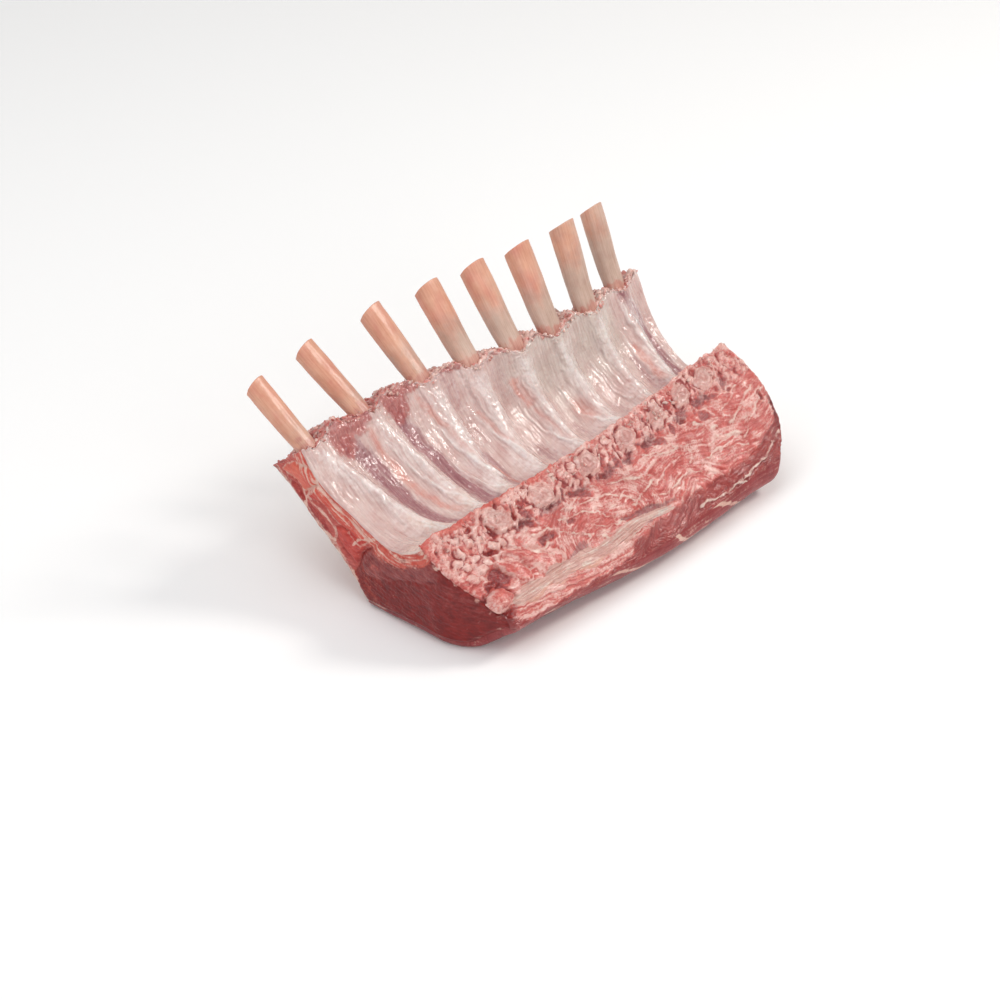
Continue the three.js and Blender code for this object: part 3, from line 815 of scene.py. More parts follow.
lumpEdge = edgesOf(level(warpX + 0.5 * warpDown, warpDown), [4.6, 3.4, 9], 3)
crumbEdge = edgesOf(level(warpX - 0.4 * warpDown, warpDown), [2.1, 1.7, 9], 13)
leafEdge = edgesOf(flow, [15, 2.7, 9], 5)
patchy = grain(faceSpots, 8, 60, 2)
torn = grain(level(warpX + 0.6 * warpDown, warpDown), [3.2, 5.5, 9], 50, 3)
# Knobbly gristle above, long leaves of meat below.
knobbly = 0.9 * ramp(0, 0.55, lumpEdge) * ramp(-0.7, 0.5, patchy) - 0.4
leafy = 0.55 * ramp(0, 0.45, leafEdge) - 0.3 + 0.35 * broadFibres
faceRelief = upper * (knobbly + 0.3 * ramp(0, 0.5, crumbEdge) + 0.95 * torn)
faceRelief += lower * leafy * (1 - 0.4 * belly) + 0.2 * fibres
cream = upper * (0.46 + 0.25 * ramp(0.1, 0.45, lumpEdge) + 0.3 * patchy + 0.3 * torn)
streaky = 0.34 + 0.27 * fibres + 0.26 * broadFibres + 0.3 * patchy
cream += lower * streaky * (1 - 0.5 * belly) - 0.1 * belly
fatLeaf = (1 - ramp(0.03, 0.2, leafEdge)) * ramp(-0.1, 0.7, grain(faceSpots, 9, 46, 2))
cream += lower * 0.5 * fatLeaf * (1 - 0.6 * belly)
blood = upper * ((0.45 - 1.7 * lumpEdge) * (0.75 + 0.5 * patchy) + 0.3 * (0.3 - crumbEdge) - 0.6 * torn)
blood += lower * 0.32 * ramp(0.2, 0.9, -broadFibres)
coral = 0.3 * upper * (1 - ramp(40, 90, faceX)) + 0.16 * grain(faceSpots, 13, 68, 2) + 0.16
# Spongy, mauve remains of the backbone lie in a broken line under the rib heads.
spongy = bell(warpDown, face["spongyDown"], face["spongyHalf"])
spongy = spongy * ramp(0.0, 0.7, grain(faceSpots, 11, 67, 2) + 0.42) * ramp(36, 46, faceX)
silver = 0.8 * spongy
faceRelief -= 0.9 * spongy * (0.5 + ramp(0, 0.5, 0.5 - crumbEdge))
blood += 0.45 * spongy * (0.55 - crumbEdge) * 2
white = np.zeros_like(faceX)
headMask = np.zeros_like(faceX)
for x, d, long, short, turn in face["heads"]:
    away = oval(warpX, warpDown, (x, d), (long, short), turn)
    away = away + 0.07 * patchy
    inside = 1 - ramp(0.8, 1.02, away)
    rings = 0.5 + 0.5 * np.cos(away * 2 * math.pi * 1.9 + 0.8 * patchy)
    sawn = 0.8 + 0.25 * rings - 0.35 * (1 - away) + 0.3 * ramp(0, 0.5, crumbEdge)
    faceRelief = mix(faceRelief, sawn, inside)
    faceRelief -= 0.8 * bell(away, 1.12, 0.11)
    headMask = np.maximum(headMask, inside)
    ringed = 0.25 + 0.3 * rings + 0.3 * patchy + 0.25 * crumbEdge
    cream = mix(cream, ringed, inside) + 0.7 * bell(away, 0.95, 0.1)
    headMask *= 1 - 0.8 * bell(away, 0.95, 0.12)
    blood = mix(blood, 0.0, inside) + 0.55 * bell(away, 1.16, 0.1) * (0.6 + patchy)
    silver = mix(silver, 0.0, inside)
for x, d, size, height in face["lumps"]:
    away = oval(warpX, warpDown, (x, d), (size, size * 0.85), 20)
    bump = np.sqrt(np.clip(1 - away**2, 0, 1))
    faceRelief += height * bump
    cream += 0.6 * bump
    blood += 0.5 * bell(away, 1.12, 0.14) - 0.8 * bump
for x, d, long, short, turn, depth, red in face["hollows"]:
    away = oval(warpX, warpDown, (x, d), (long, short), turn)
    inside = 1 - ramp(0.6, 1.25, away + 0.22 * torn + 0.12 * patchy)
    faceRelief -= depth * inside * (1 + 0.35 * grain(faceSpots, 1.3, 61))
    blood = np.maximum(blood, inside * (0.3 + 0.5 * red) * (1 - 0.6 * ramp(40, 90, faceX)))
    silver = np.maximum(silver, inside * (0.4 + 0.3 * ramp(30, 60, faceX)))
    cream = mix(cream, cream * 0.3, inside) + 0.32 * bell(away, 1.4, 0.2)
for start, end, depth in face["slits"]:
    away, run = awayFrom(warpX, warpDown, [start, end])
    line = bell(away, 0, 0.6) * ramp(0, 0.2, run) * (1 - ramp(0.8, 1, run))
    faceRelief -= depth * line
    blood += 0.7 * line
for points, width in face["seams"]:
    away, run = awayFrom(warpX, warpDown, points)
    uneven = width * (0.8 + 0.6 * grain(faceSpots, 4, 62))
    broken = 0.45 + 0.55 * ramp(-0.5, 0.4, grain(faceSpots, 5, 69))
    line = (1 - ramp(uneven * 0.4, uneven * 1.2 + 0.3, away)) * broken
    faceRelief += 0.35 * line - 0.35 * np.exp(-(((away - uneven - 0.8) / 0.6) ** 2))
    white = np.maximum(white, 0.72 * line)
# A thin flap of fat hangs over the hollow near the end, and ends in a pale edge.
for outline, height in face["leaves"]:
    inside = insideOf(warpX, warpDown, outline)
    across = level(warpX * 0.6 + warpDown * 0.8, warpDown * 0.6 - warpX * 0.8)
    folded = grain(across, [9, 2.2, 9], 48, 2)
    faceRelief = mix(faceRelief, height * ramp(0, 5, inside + 1) + 0.35 * folded, ramp(-0.4, 1.6, inside))
    faceRelief -= 0.75 * bell(inside, -0.7, 0.55) * ramp(-0.7, 0.4, grain(faceSpots, 5, 47))
    edging = bell(inside, 0.5, 0.55) * ramp(-0.5, 0.4, grain(faceSpots, 6, 49))
    cream = mix(cream, 0.4 + 0.45 * folded + 0.2 * patchy, ramp(-0.4, 1.2, inside)) + 0.6 * edging
    coral = mix(coral, 0.4, ramp(0.5, 2.5, inside))
    blood = mix(blood, 0.0, ramp(-0.4, 0.8, inside))
    silver = mix(silver, 0.0, ramp(-0.4, 0.8, inside))
# The bright lip along the crest, strongest at the near end.
lip = 1 - ramp(0.6, 5.0, warpDown + 1.6 * patchy + 1.2 * grain(faceSpots, 3.5, 63))
coral += 0.9 * lip * mix(1.0, 0.3, ramp(45, 110, faceX))
cream = mix(cream, 0.2 + 0.42 * ramp(50, 120, faceX) + 0.3 * patchy, lip)
blood *= 1 - 0.8 * lip
faceRelief = mix(faceRelief, 0.5 + 0.7 * patchy, 0.55 * lip)
# The rounded knob at the foot of the near end, in a crease.
x, d, long, short, turn, height = face["knob"]
away = oval(warpX, warpDown, (x, d), (long, short), turn)
knob = np.sqrt(np.clip(1 - away**2, 0, 1))
onKnob = np.clip(knob * 3, 0, 1)
faceRelief = mix(faceRelief, 0.2 * fibres, onKnob) + height * knob - 1.5 * bell(away, 1.14, 0.13)
cream = mix(cream, 0.34 + 0.5 * ramp(0.6, 0.95, away) * ramp(0, 8, 12 - faceX) + 0.3 * patchy, onKnob)
coral = mix(coral, 0.5, onKnob)
blood = mix(blood, 0, onKnob) + 0.5 * bell(away, 1.16, 0.14)
# The wide bed of sinew under the ligament, with slack strands of orange fat running along it.
away, run = awayFrom(warpX, warpDown, face["sinew"])
strands = grain(level(faceX * 0.96 + 0.3 * warpDown, warpDown - 0.08 * faceX), [26, 1.3, 9], 65, 3)
bed = 1 - ramp(4.5, 8.0, away + 2 * patchy + 5.0 * ramp(0.55, 0.95, run))
bed = bed * ramp(9, 16, faceX) * (1 - ramp(116, 132, faceX))
cream = mix(cream, 0.5 + 0.42 * strands + 0.2 * patchy, bed)
coral = mix(coral, 0.22 - 0.4 * strands, bed)
blood = mix(blood, 0.0, bed)
belly = belly * (1 - bed)
faceRelief = mix(faceRelief, 0.55 * strands, bed)
# Painted shade in the crevice over the ligament, carried by the silver mask.
away, run = awayFrom(warpX, warpDown, face["creviceShade"])
line = bell(away, 0, 0.9) * ramp(0, 0.1, run) * (1 - ramp(0.85, 1, run))
silver += 0.9 * line
for x, d, long, short, turn, strength in face["creviceShadePatches"]:
    away = oval(warpX, warpDown, (x, d), (long, short), turn)
    silver += strength * (1 - ramp(0.6, 1.2, away))
faceRelief -= 0.9 * line
# Where the belly starts, past the ligament, there is only a seam, and white lines of fat cross the belly.
away, run = awayFrom(warpX, warpDown, face["bellySeam"])
line = bell(away, 0, 0.9) * ramp(0, 0.08, run)
faceRelief -= 0.9 * line
blood += 0.35 * line
white += 0.5 * bell(away, 1.4, 0.7) * ramp(-0.2, 0.6, grain(faceSpots, 7, 66))
white *= 1 - upper * 0.5
# At both ends the dark meat of the loin comes round the edge, below the gristle.
faceY = faceSkin[:, :, 1] + rack["middleY"]
edgeGap = np.minimum(faceX - nearEnd(faceY), farEnd(faceY, faceSkin[:, :, 2]) - faceX)
edgeMeat = (1 - ramp(0.8, 4.4, edgeGap + 2.0 * patchy)) * ramp(30, 38, faceDown + 4 * patchy) * (1 - onKnob)
faceShare = share[:, faceColumns]
relief[:, faceColumns] += faceRelief * ramp(0, 0.02, faceShare) * (1 - ramp(0.985, 1, faceShare))
faceMasks = {
    "cream": cream,
    "head": headMask,
    "blood": blood,
    "coral": coral,
    "silver": silver,
    "white": white,
    "belly": belly,
    "edgeMeat": edgeMeat,
}
faceFlow = np.stack([flowP, flowQ], -1)
print("sawn face laid out")

# The wall of the trough.

# Rib membrane: a thin wet skin over bone, fat and muscle. Its pearly film is see-through, so each shows its
# own colour under it, and its wetness gives the eye small sharp glints. Its pale pearl layer over the ribs is
# partly the membrane's own colour over bone and partly a painted highlight along the ridges and folds.
membraneLook = {
    "name": "wetRibMembrane",
    "ground": ["#c69e98", "#e0c8c1"],
    "mottle": 9.0,
    "fibre": [1.0, 16.0],
    "ragged": 2.2,
    "roughness": [0.18, 0.34],
    "pores": 1.0,
    "fibreBump": 0.22,
    "poreBump": 0.12,
    "sparkle": [0.8, 0.1],
    "glow": 0.15,
    "glowDepth": 2.5,
    "wet": 1.0,
    "wetRoughness": 0.1,
    "layers": [
        ["grey", "#c0ada4", "#dacdc3", 0.5, 0.45, 0.85],
        ["dusky", "#84464f", "#ab7378", 0.8, 0.42, 0.9],
        ["meat", "#9c4446", "#c4746b", 1.5, 0.5, 0.85],
        ["salmon", "#c9776a", "#dc9a8a", 0.9, 0.45, 0.7],
        ["fat", "#dbb9ac", "#ead2c6", 0.6, 0.4, 0.85],
        # pale membrane over bone, partly a painted highlight
        ["pearlAndSheen", "#e4d8d3", "#f6eeeb", 0.9, 0.4, 0.85],
    ],
}
trough = {
    "wall": 83.7,  # mm up the inner face, crest to rim
    # the pale stripe is partly a painted highlight
    "ridgeHalf": 5.0,  # the pale stripe over each rib
    "dusky": [  # bare muscle between the ribs: path [x, share up the wall], half width, strength
        [[[17, 0.86], [21.5, 0.72], [23, 0.55], [25.5, 0.38], [31, 0.2]], 5.2, 0.95],
        [[[48.5, 0.86], [50.5, 0.72], [52.5, 0.58], [56, 0.4], [61.5, 0.17]], 4.6, 1.0],
        [[[73.5, 0.5], [76.5, 0.36], [82, 0.2]], 4.0, 0.72],
        [[[79.5, 0.95], [79, 0.75], [80, 0.6]], 5.0, 0.35],
        [[[104, 0.42], [109, 0.28], [116, 0.16]], 4.0, 0.5],
        [[[105, 0.9], [106, 0.7]], 5.0, 0.3],
        [[[130, 0.42], [134, 0.3], [140, 0.17]], 4.0, 0.4],
        [[[154, 0.4], [158, 0.26]], 4.0, 0.35],
        [[[194, 0.95], [197.5, 0.75], [198, 0.5], [197, 0.25]], 3.6, 0.95],
        [[[182, 0.55], [183, 0.3]], 3.0, 0.5],
    ],
    "meat": [  # torn red meat under the rim: middle, half sizes, strength
        [[14, 0.9], [9, 9], 1.0],
        [[24, 0.96], [10, 8], 1.0],
        [[49, 0.93], [9, 9], 1.0],
        [[58, 0.97], [8, 5], 0.8],
        [[84, 0.985], [7, 3], 0.7],
        [[109, 0.985], [7, 3], 0.6],
        [[132, 0.985], [6, 3], 0.6],
    ],
    "salmon": [  # bright strips along the bones: path, half width, strength
        [[[29, 0.86], [30, 0.7], [31.5, 0.56], [36, 0.42], [44, 0.27]], 1.6, 1.0],
        [[[62, 0.9], [66, 0.74], [70, 0.55], [74, 0.42], [83, 0.26], [95, 0.17]], 1.1, 0.8],
        [[[87, 0.72], [91, 0.52], [97, 0.34], [108, 0.2]], 0.9, 0.7],
        [[[112.5, 0.8], [114.5, 0.66]], 2.2, 1.0],
        [[[115.5, 0.6], [118, 0.42], [126, 0.26]], 0.9, 0.7],
        [[[137, 0.52], [139.5, 0.44]], 3.0, 0.9],
        [[[142, 0.4], [150, 0.24]], 1.0, 0.6],
        [[[168, 0.28], [178, 0.18]], 2.5, 0.7],
        [[[187, 0.6], [187, 0.3], [192, 0.17]], 1.4, 0.8],
    ],
    "folds": [  # fine raised lines that follow the ribs
        [[33, 0.86], [35.5, 0.66], [40, 0.5], [47, 0.35]],
        [[60, 0.85], [63.5, 0.7], [67, 0.55], [75, 0.38], [88, 0.24]],
        [[57, 0.6], [60, 0.48], [66, 0.33], [76, 0.2]],
        [[84, 0.8], [87, 0.6], [93, 0.42], [103, 0.25]],
        [[108, 0.75], [111, 0.55], [116, 0.4], [127, 0.22]],
        [[133, 0.7], [135, 0.5], [141, 0.35], [150, 0.2]],
        [[158, 0.7], [160, 0.5], [165, 0.33]],
        [[182, 0.85], [185, 0.6], [186, 0.4]],
        [[191, 0.9], [192, 0.6], [191, 0.35]],
        [[200, 0.85], [202, 0.55], [201, 0.3]],
    ],
}

wallColumns = columnsOf[0]
wallX = skinX[:, wallColumns]
wallU = share[:, wallColumns]
wallSpots = level(wallX, wallU * trough["wall"])
bentX = wallX + 1.2 * grain(wallSpots, 9, 71, 2)
bentY = wallU * trough["wall"] + 1.5 * grain(wallSpots, 9, 72, 2)
along = level(bentX - 14 * (1 - wallU) ** 2, bentY)
lines = grain(along, [1.1, 22, 9], 73, 2)
broad = grain(along, [4.5, 30, 9], 74, 2)
dusky, meat, salmon, pearlAndSheen = (np.zeros_like(wallX) for _ in range(4))
wallRelief = 0.24 * lines + 0.6 * broad + 0.14 * grain(wallSpots, [2.2, 1.6, 9], 75, 2)


def fromPath(path):
    return awayFrom(bentX, bentY, [[x, u * trough["wall"]] for x, u in path])


for path, half, strength in trough["dusky"]:
    away, _ = fromPath(path)
    dusky = np.maximum(dusky, strength * (1 - ramp(half * 0.4, half * 1.5, away)))
for path, half, strength in trough["salmon"]:
    away, _ = fromPath(path)
    salmon = np.maximum(salmon, strength * (1 - ramp(half * 0.3, half * 2.2, away)) * (0.7 + 0.4 * broad))
for (x, u), (wide, tall), strength in trough["meat"]:
    away = oval(bentX, bentY, (x, u * trough["wall"]), (wide, tall))
    meat = np.maximum(meat, strength * (1 - ramp(0.55, 1.15, away + 0.25 * grain(wallSpots, 4, 76))))
# The raised folds are also painted paler, partly as a painted highlight.
for path in trough["folds"]:
    away, run = fromPath(path)
    fold = bell(away, 0, 0.7) * ramp(0, 0.12, run) * (1 - ramp(0.85, 1, run))
    wallRelief += 0.35 * fold
    pearlAndSheen += 0.35 * fold
# Each ridge is painted pale: partly the membrane over bone, partly a painted highlight.
ridge = ridges(wallX, wallU, trough["ridgeHalf"])
pearlAndSheen += 0.55 * ridge * (1 - ramp(0.86, 0.98, wallU)) + 0.22 * lines + 0.1 * broad
wallRelief += meat * (0.9 * grain(wallSpots, 3.2, 77, 2) + 0.3) - 0.5 * dusky
greyish = ramp(90, 130, wallX) * (1 - ramp(178, 192, wallX)) * ramp(0.35, 0.75, wallU) * 0.75
greyish = greyish + 0.3 * grain(wallSpots, 16, 78)
fat = (1 - ramp(0.1, 0.34, wallU + 0.05 * grain(wallSpots, 8, 79))) * (0.75 + 0.25 * lines)
fat = fat * (1 - 0.6 * ramp(40, 90, wallX))
fat = np.maximum(fat, ridge * (1 - ramp(0.3, 0.55, wallU)) * (1 - ramp(50, 90, wallX)))
dusky = dusky * (0.85 + 0.4 * lines + 0.2 * broad)
relief[:, wallColumns] += wallRelief * ramp(0, 0.03, wallU) * (1 - ramp(0.99, 1, wallU))
wallMasks = {"dusky": dusky, "meat": meat, "salmon": salmon, "pearlAndSheen": pearlAndSheen, "grey": greyish, "fat": fat}
print("trough laid out")

# The back: soft lobes of fat, parted by shallow creases.

backColumns = columnsOf[2]
backSpots = skin[:, backColumns]
lobeEdge = edgesOf(backSpots + 2.0 * grain(backSpots, 9, 98)[..., None], [15, 9, 9], 99)
creaseEdge = edgesOf(backSpots, [5.5, 4, 4], 100)
backRelief = 0.75 * ramp(0, 0.45, lobeEdge) + 0.28 * ramp(0, 0.5, creaseEdge)
backRelief = backRelief + 0.5 * grain(backSpots, 24, 101)
backShare = share[:, backColumns]
relief[:, backColumns] += (backRelief - 0.8) * (ramp(0, 0.05, backShare) * (1 - ramp(0.95, 1, backShare)))

# The rim and the crest: where the meat stands up, leans over and is left ragged.

raggedEdge = {
    "crestReach": 4.5,  # mm to both sides of the crest
    "crestLean": [0, -0.35, 0.94],
    "calm": 0.45,  # how much of the relief is left at the two cuts
    "crestCalm": 0.85,
}
lift = rimRise(skinX)
tip = np.where(onPart[0], ramp(0.86, 1, share), 0) + np.where(onPart[1], 1, 0)
tip = tip + np.where(onPart[2], 1 - ramp(0.0, 0.16, share), 0)
rimStart = columnsOf[1][0]
upWall = (np.roll(skin, -3, 1) - np.roll(skin, 3, 1))[:, rimStart - 12 : rimStart - 6].mean(1)
upWall /= np.linalg.norm(upWall, axis=1)[:, None]
lumps = 0.9 * grain(skin, 4.6, 21, 2) + 0.4 * grain(skin, 1.7, 22, 2)
lumps = lumps + 1.2 * ramp(0, 0.5, edgesOf(skin, [3.4, 3.0, 3.0], 23)) - 0.6
overRim = np.where(onPart[1], 1.0, 0) + np.where(onPart[0], ramp(0.955, 0.985, share), 0)
overRim = overRim + np.where(onPart[2], 1 - ramp(0.0, 0.03, share), 0)
relief = relief + lumps * overRim
crestShare = np.where(onPart[0], bell(share * trough["wall"], 0, raggedEdge["crestReach"]), 0)
crestShare[:, faceColumns] = bell(faceDown, 0, raggedEdge["crestReach"])
crestSpots = np.stack([skinX, skinX * 0, skinX * 0], -1)
crestRise = 1.5 * grain(crestSpots, 12, 96, 2) + 1.1 * grain(skin, 4.2, 97, 2)
relief = relief * (raggedEdge["calm"] + (1 - raggedEdge["calm"]) * skinCalm)[:, None]
relief = relief * (1 - raggedEdge["crestCalm"] * crestShare * (1 - skinCalm)[:, None])
skin = skin + skinNormal * relief[:, :, None] + upWall[:, None, :] * (lift * tip)[:, :, None]
rise = crestRise * crestShare * skinCalm[:, None]
skin = skin + np.array(raggedEdge["crestLean"]) * rise[:, :, None]
skin[:, :, 2] = np.maximum(skin[:, :, 2], 0)


def sheetOf(part, depth, masks, columnStep=1, rowStep=1, flat=None):
    where, picked = sliceOf(part, columnStep, rowStep)
    grid = skin[where]
    x = skinX[where]
    length = np.cumsum(np.linalg.norm(np.diff(grid, axis=1, prepend=grid[:, :1]), axis=2), axis=1)
    u = np.broadcast_to(np.append(skinShare[picked[:-1]], 1.0), x.shape)
    flat = np.stack([x, length], -1) if flat is None else flat
    flip = (normalsOf(grid) * skinNormal[where]).sum(2).mean() < 0
    return {"grid": grid, "depth": depth, "flat": flat, "masks": masks(x, u, length), "flip": flip}


def withLast(values):
    # Repeats the last column, for the border that a part shares with the next.
    return np.concatenate([values, values[:, -1:]], axis=1)


# Membrane: the thin, wet skin inside the ribs.

solidPiece(
    "membrane",
    [sheetOf(0, 3.0, lambda *a: {k: withLast(v) for k, v in wallMasks.items()})],
    ["rib_plate"],
    fleshMaterial(membraneLook),
)

# Rim: the ragged meat and fat between the bones, where they were scraped clean.

# Scraped fat: a knife has left it soft, pink and ragged, with raw red where it cut deeper, and it is moist.
rimLook = {
    "name": "scrapedFat",
    "ground": ["#c25e58", "#de9a90"],
    "mottle": 4.0,
    "fibre": [1.5, 3.0],
    "ragged": 1.5,
    "roughness": [0.3, 0.5],
    "pores": 0.9,
    "fibreBump": 0.3,
    "poreBump": 0.2,
    "glow": 0.15,
    "glowDepth": 2.5,
    "wet": 0.7,
    "wetRoughness": 0.1,
    "sparkle": [1.6, 0.4],
    "layers": [
        ["raw", "#9c302d", "#bf544b", 0.9, 0.35, 0.9],
        ["fat", "#e0b3a6", "#f2d6cc", 1.1, 0.35, 0.95],
    ],
}


def rimMasks(x, u, length):
    spots = level(x, length)
    lump = edgesOf(spots, [4.2, 3.4, 9], 24)
    fat = 0.25 + 0.3 * ramp(40, 80, x) + 0.5 * grain(spots, 6, 26, 2) + 0.35 * lump
    return {
        "raw": 0.2 + 0.4 * (1 - ramp(40, 80, x)) + 0.5 * grain(spots, 7, 25, 2) - 0.5 * lump,
        "fat": fat + 0.25 * ramp(0.7, 1, u),
    }


rimMaterial = fleshMaterial(rimLook)
solidPiece("rimFlesh", [sheetOf(1, 3.0, rimMasks)], [], rimMaterial)

# Shreds: loose threads and crumbs left by the knife along the rim, the bones and the crest.

shreds = {
    "seed": 5,
    "perArea": 150000.0,  # to the square metre, times how thickly they cling to the rim or the crest
    "rim": 2.6,
    "crest": 0.55,
    "steps": 9,  # points along a thread
    "around": 6,
    "radius": 0.00042,  # this and the other sizes are in metres
    "thread": [(0, 0, -0.0004), (0.0002, 0.0001, 0.0012), (0.0014, 0.0002, 0.0016)],
    "taper": [(0, 0.9), (0.45, 0.7), (1, 0.12)],
    "crumb": 0.00095,
    "crumbScale": (1.3, 1.0, 0.6),
    "least": (0.45, 0.45, 0.4),
    "most": (1.3, 1.3, 1.5),
    "lean": 0.9,  # radians either way
    "wander": 0.0016,
}


def shredBed():
    # The places where shreds cling, with how thickly, as a mesh over the skin.
    rimColumns = np.arange(columnsOf[1][0] - 7, columnsOf[1][-1] + 6, 4)
    crestColumns = np.arange(columnsOf[4][-1] - 34, columnsOf[4][-1] - 2, 4)
    rows = np.arange(14, len(skin) - 14, 5)
    corners, faces, thick = [], [], []
    for columns, most in ((rimColumns, shreds["rim"]), (crestColumns, shreds["crest"])):
        grid = skin[np.ix_(rows, columns)]
        x = skinX[np.ix_(rows, columns)]
        before = sum(len(c) for c in corners)
        index = np.arange(grid.shape[0] * grid.shape[1]).reshape(grid.shape[:2]) + before
        quad = [index[:-1, :-1], index[:-1, 1:], index[1:, 1:], index[1:, :-1]]
        faces += np.stack(quad, -1).reshape(-1, 4).tolist()
        clump = ramp(-0.2, 0.7, grain(np.stack([x, x * 0, x * 0], -1), 8, 27, 2))
        corners.append(grid.reshape(-1, 3))
        thick.append((most * (0.25 + clump)).ravel())
    mesh = bpy.data.meshes.new("shredBed")
    mesh.from_pydata((np.concatenate(corners) / 1000).tolist(), [], faces)
    storeMask(mesh, "thickly", np.concatenate(thick))
    bed = bpy.data.objects.new("shredBed", mesh)
    bpy.context.scene.collection.objects.link(bed)
    return bed


def shredTree():
    tree = bpy.data.node_groups.new("shreds", "GeometryNodeTree")
    inputs = [("Thickly", "Float", 1.0), ("Seed", "Int", 1), ("Length", "Float", 1.0)]
    tree.interface.new_socket("Bed", in_out="INPUT", socket_type="NodeSocketGeometry")
    for label, kind, value in inputs:
        socket = tree.interface.new_socket(label, in_out="INPUT", socket_type="NodeSocket" + kind)
        socket.default_value = value
    tree.interface.new_socket("Material", in_out="INPUT", socket_type="NodeSocketMaterial")
    tree.interface.new_socket("Shreds", in_out="OUTPUT", socket_type="NodeSocketGeometry")
    given = add(tree, "NodeGroupInput").outputs
    maths, vectors, scale = "ShaderNodeMath", "ShaderNodeVectorMath", {"operation": "SCALE"}
    times, random = {"operation": "MULTIPLY"}, {"data_type": "FLOAT_VECTOR"}
    thickly = add(tree, "GeometryNodeInputNamedAttribute", {"data_type": "FLOAT"}, Name="thickly")
    amount = add(tree, maths, times, i0=thickly.outputs[0], i1=given["Thickly"])
    perArea = add(tree, maths, times, i0=amount.outputs[0], i1=shreds["perArea"])
    scattered = {"distribute_method": "RANDOM"}
    spots = add(tree, "GeometryNodeDistributePointsOnFaces", scattered, Mesh=given["Bed"])
    tree.links.new(perArea.outputs[0], spots.inputs["Density"])
    tree.links.new(given["Seed"], spots.inputs["Seed"])
    # A shred is a short tapered thread; its bend and twist come from a noise later on.
    start, middle, end = shreds["thread"]
    thread = add(tree, "GeometryNodeCurveQuadraticBezier", Start=start, Middle=middle, End=end)
    thread.inputs["Resolution"].default_value = shreds["steps"]
    run = add(tree, "GeometryNodeSplineParameter").outputs["Factor"]
    thin = add(tree, "ShaderNodeFloatCurve", Value=run)
    curve = thin.mapping.curves[0]
    first, between, last = shreds["taper"]
    curve.points[0].location = first
    curve.points[1].location = last
    curve.points.new(*between)
    thin.mapping.update()
    tapered = add(tree, "GeometryNodeSetCurveRadius", Curve=thread.outputs[0], Radius=thin.outputs[0])
    around = shreds["around"]
    section = add(tree, "GeometryNodeCurvePrimitiveCircle", Radius=shreds["radius"], Resolution=around)
    closed = {"Profile Curve": section.outputs[0], "Fill Caps": True, "Scale": thin.outputs[0]}
    strand = add(tree, "GeometryNodeCurveToMesh", Curve=tapered.outputs[0], **closed)
    crumb = add(tree, "GeometryNodeMeshIcoSphere", Radius=shreds["crumb"], Subdivisions=2)
    squat = add(tree, "GeometryNodeTransform", Geometry=crumb.outputs[0], Scale=shreds["crumbScale"])
    pair = add(tree, "GeometryNodeGeometryToInstance")
    tree.links.new(squat.outputs[0], pair.inputs[0])
    tree.links.new(strand.outputs[0], pair.inputs[0])
    lean = shreds["lean"]
    spin = add(tree, "FunctionNodeRandomValue", random, i0=(-lean, -lean, 0.0), i1=(lean, lean, 6.283))
    local = {"rotation_space": "LOCAL"}
    turned = add(tree, "FunctionNodeRotateRotation", local, Rotation=spots.outputs["Rotation"])
    tree.links.new(spin.outputs[0], turned.inputs[1])
    size = add(tree, "FunctionNodeRandomValue", random, i0=shreds["least"], i1=shreds["most"])
    longer = add(tree, vectors, scale, i0=size.outputs[0], Scale=given["Length"])
    placed = add(tree, "GeometryNodeInstanceOnPoints", Points=spots.outputs[0], Instance=pair.outputs[0])
    placed.inputs["Pick Instance"].default_value = True
    tree.links.new(turned.outputs[0], placed.inputs["Rotation"])
    tree.links.new(longer.outputs[0], placed.inputs["Scale"])
    whole = add(tree, "GeometryNodeRealizeInstances", Geometry=placed.outputs[0])
    wander = add(tree, "ShaderNodeTexNoise", Scale=900.0, Detail=1.0)
    minus = {"operation": "SUBTRACT"}
    middle = add(tree, vectors, minus, i0=wander.outputs["Color"], i1=(0.5, 0.5, 0.5))
    push = add(tree, vectors, scale, i0=middle.outputs[0], Scale=shreds["wander"])
    bent = add(tree, "GeometryNodeSetPosition", Geometry=whole.outputs[0], Offset=push.outputs[0])
    smooth = add(tree, "GeometryNodeSetShadeSmooth", Geometry=bent.outputs[0])
    material = given["Material"]
    dressed = add(tree, "GeometryNodeSetMaterial", Geometry=smooth.outputs[0], Material=material)
    tree.links.new(dressed.outputs[0], add(tree, "NodeGroupOutput").inputs[0])
    return tree


def growShreds(material):
    bed = shredBed()
    tree = shredTree()
    modifier = bed.modifiers.new("shreds", "NODES")
    modifier.node_group = tree
    wanted = {"Thickly": 1.0, "Seed": shreds["seed"], "Length": 1.0, "Material": material}
    for item in tree.interface.items_tree:
        if item.item_type == "SOCKET" and item.in_out == "INPUT" and item.name in wanted:
            modifier[item.identifier] = wanted[item.name]
    bpy.context.view_layer.update()
    grown = bed.evaluated_get(bpy.context.evaluated_depsgraph_get())
    mesh = bpy.data.meshes.new_from_object(grown)
    mesh.name = "rimShreds"
    piece = bpy.data.objects.new("rimShreds", mesh)
    bpy.context.scene.collection.objects.link(piece)
    bpy.data.objects.remove(bed)
    spots = np.zeros(len(mesh.vertices) * 3, np.float32)
    mesh.vertices.foreach_get("co", spots)
    spots = spots.reshape(-1, 3) * 1000
    nearRed = 1 - ramp(-60, -20, spots[:, 0])
    for key, value, seed in (("raw", 0.15 + 0.35 * nearRed, 28), ("fat", 0.7 - 0.3 * nearRed, 29)):
        storeMask(mesh, key, value + 0.6 * grain(spots, 3.0, seed, 2))
    mesh.uv_layers.new(name="surface")
    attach(piece, "root")
    print("rimShreds faces", len(mesh.polygons))


growShreds(rimMaterial)

# Fat cover: the skin of fat over the outside of the flap.


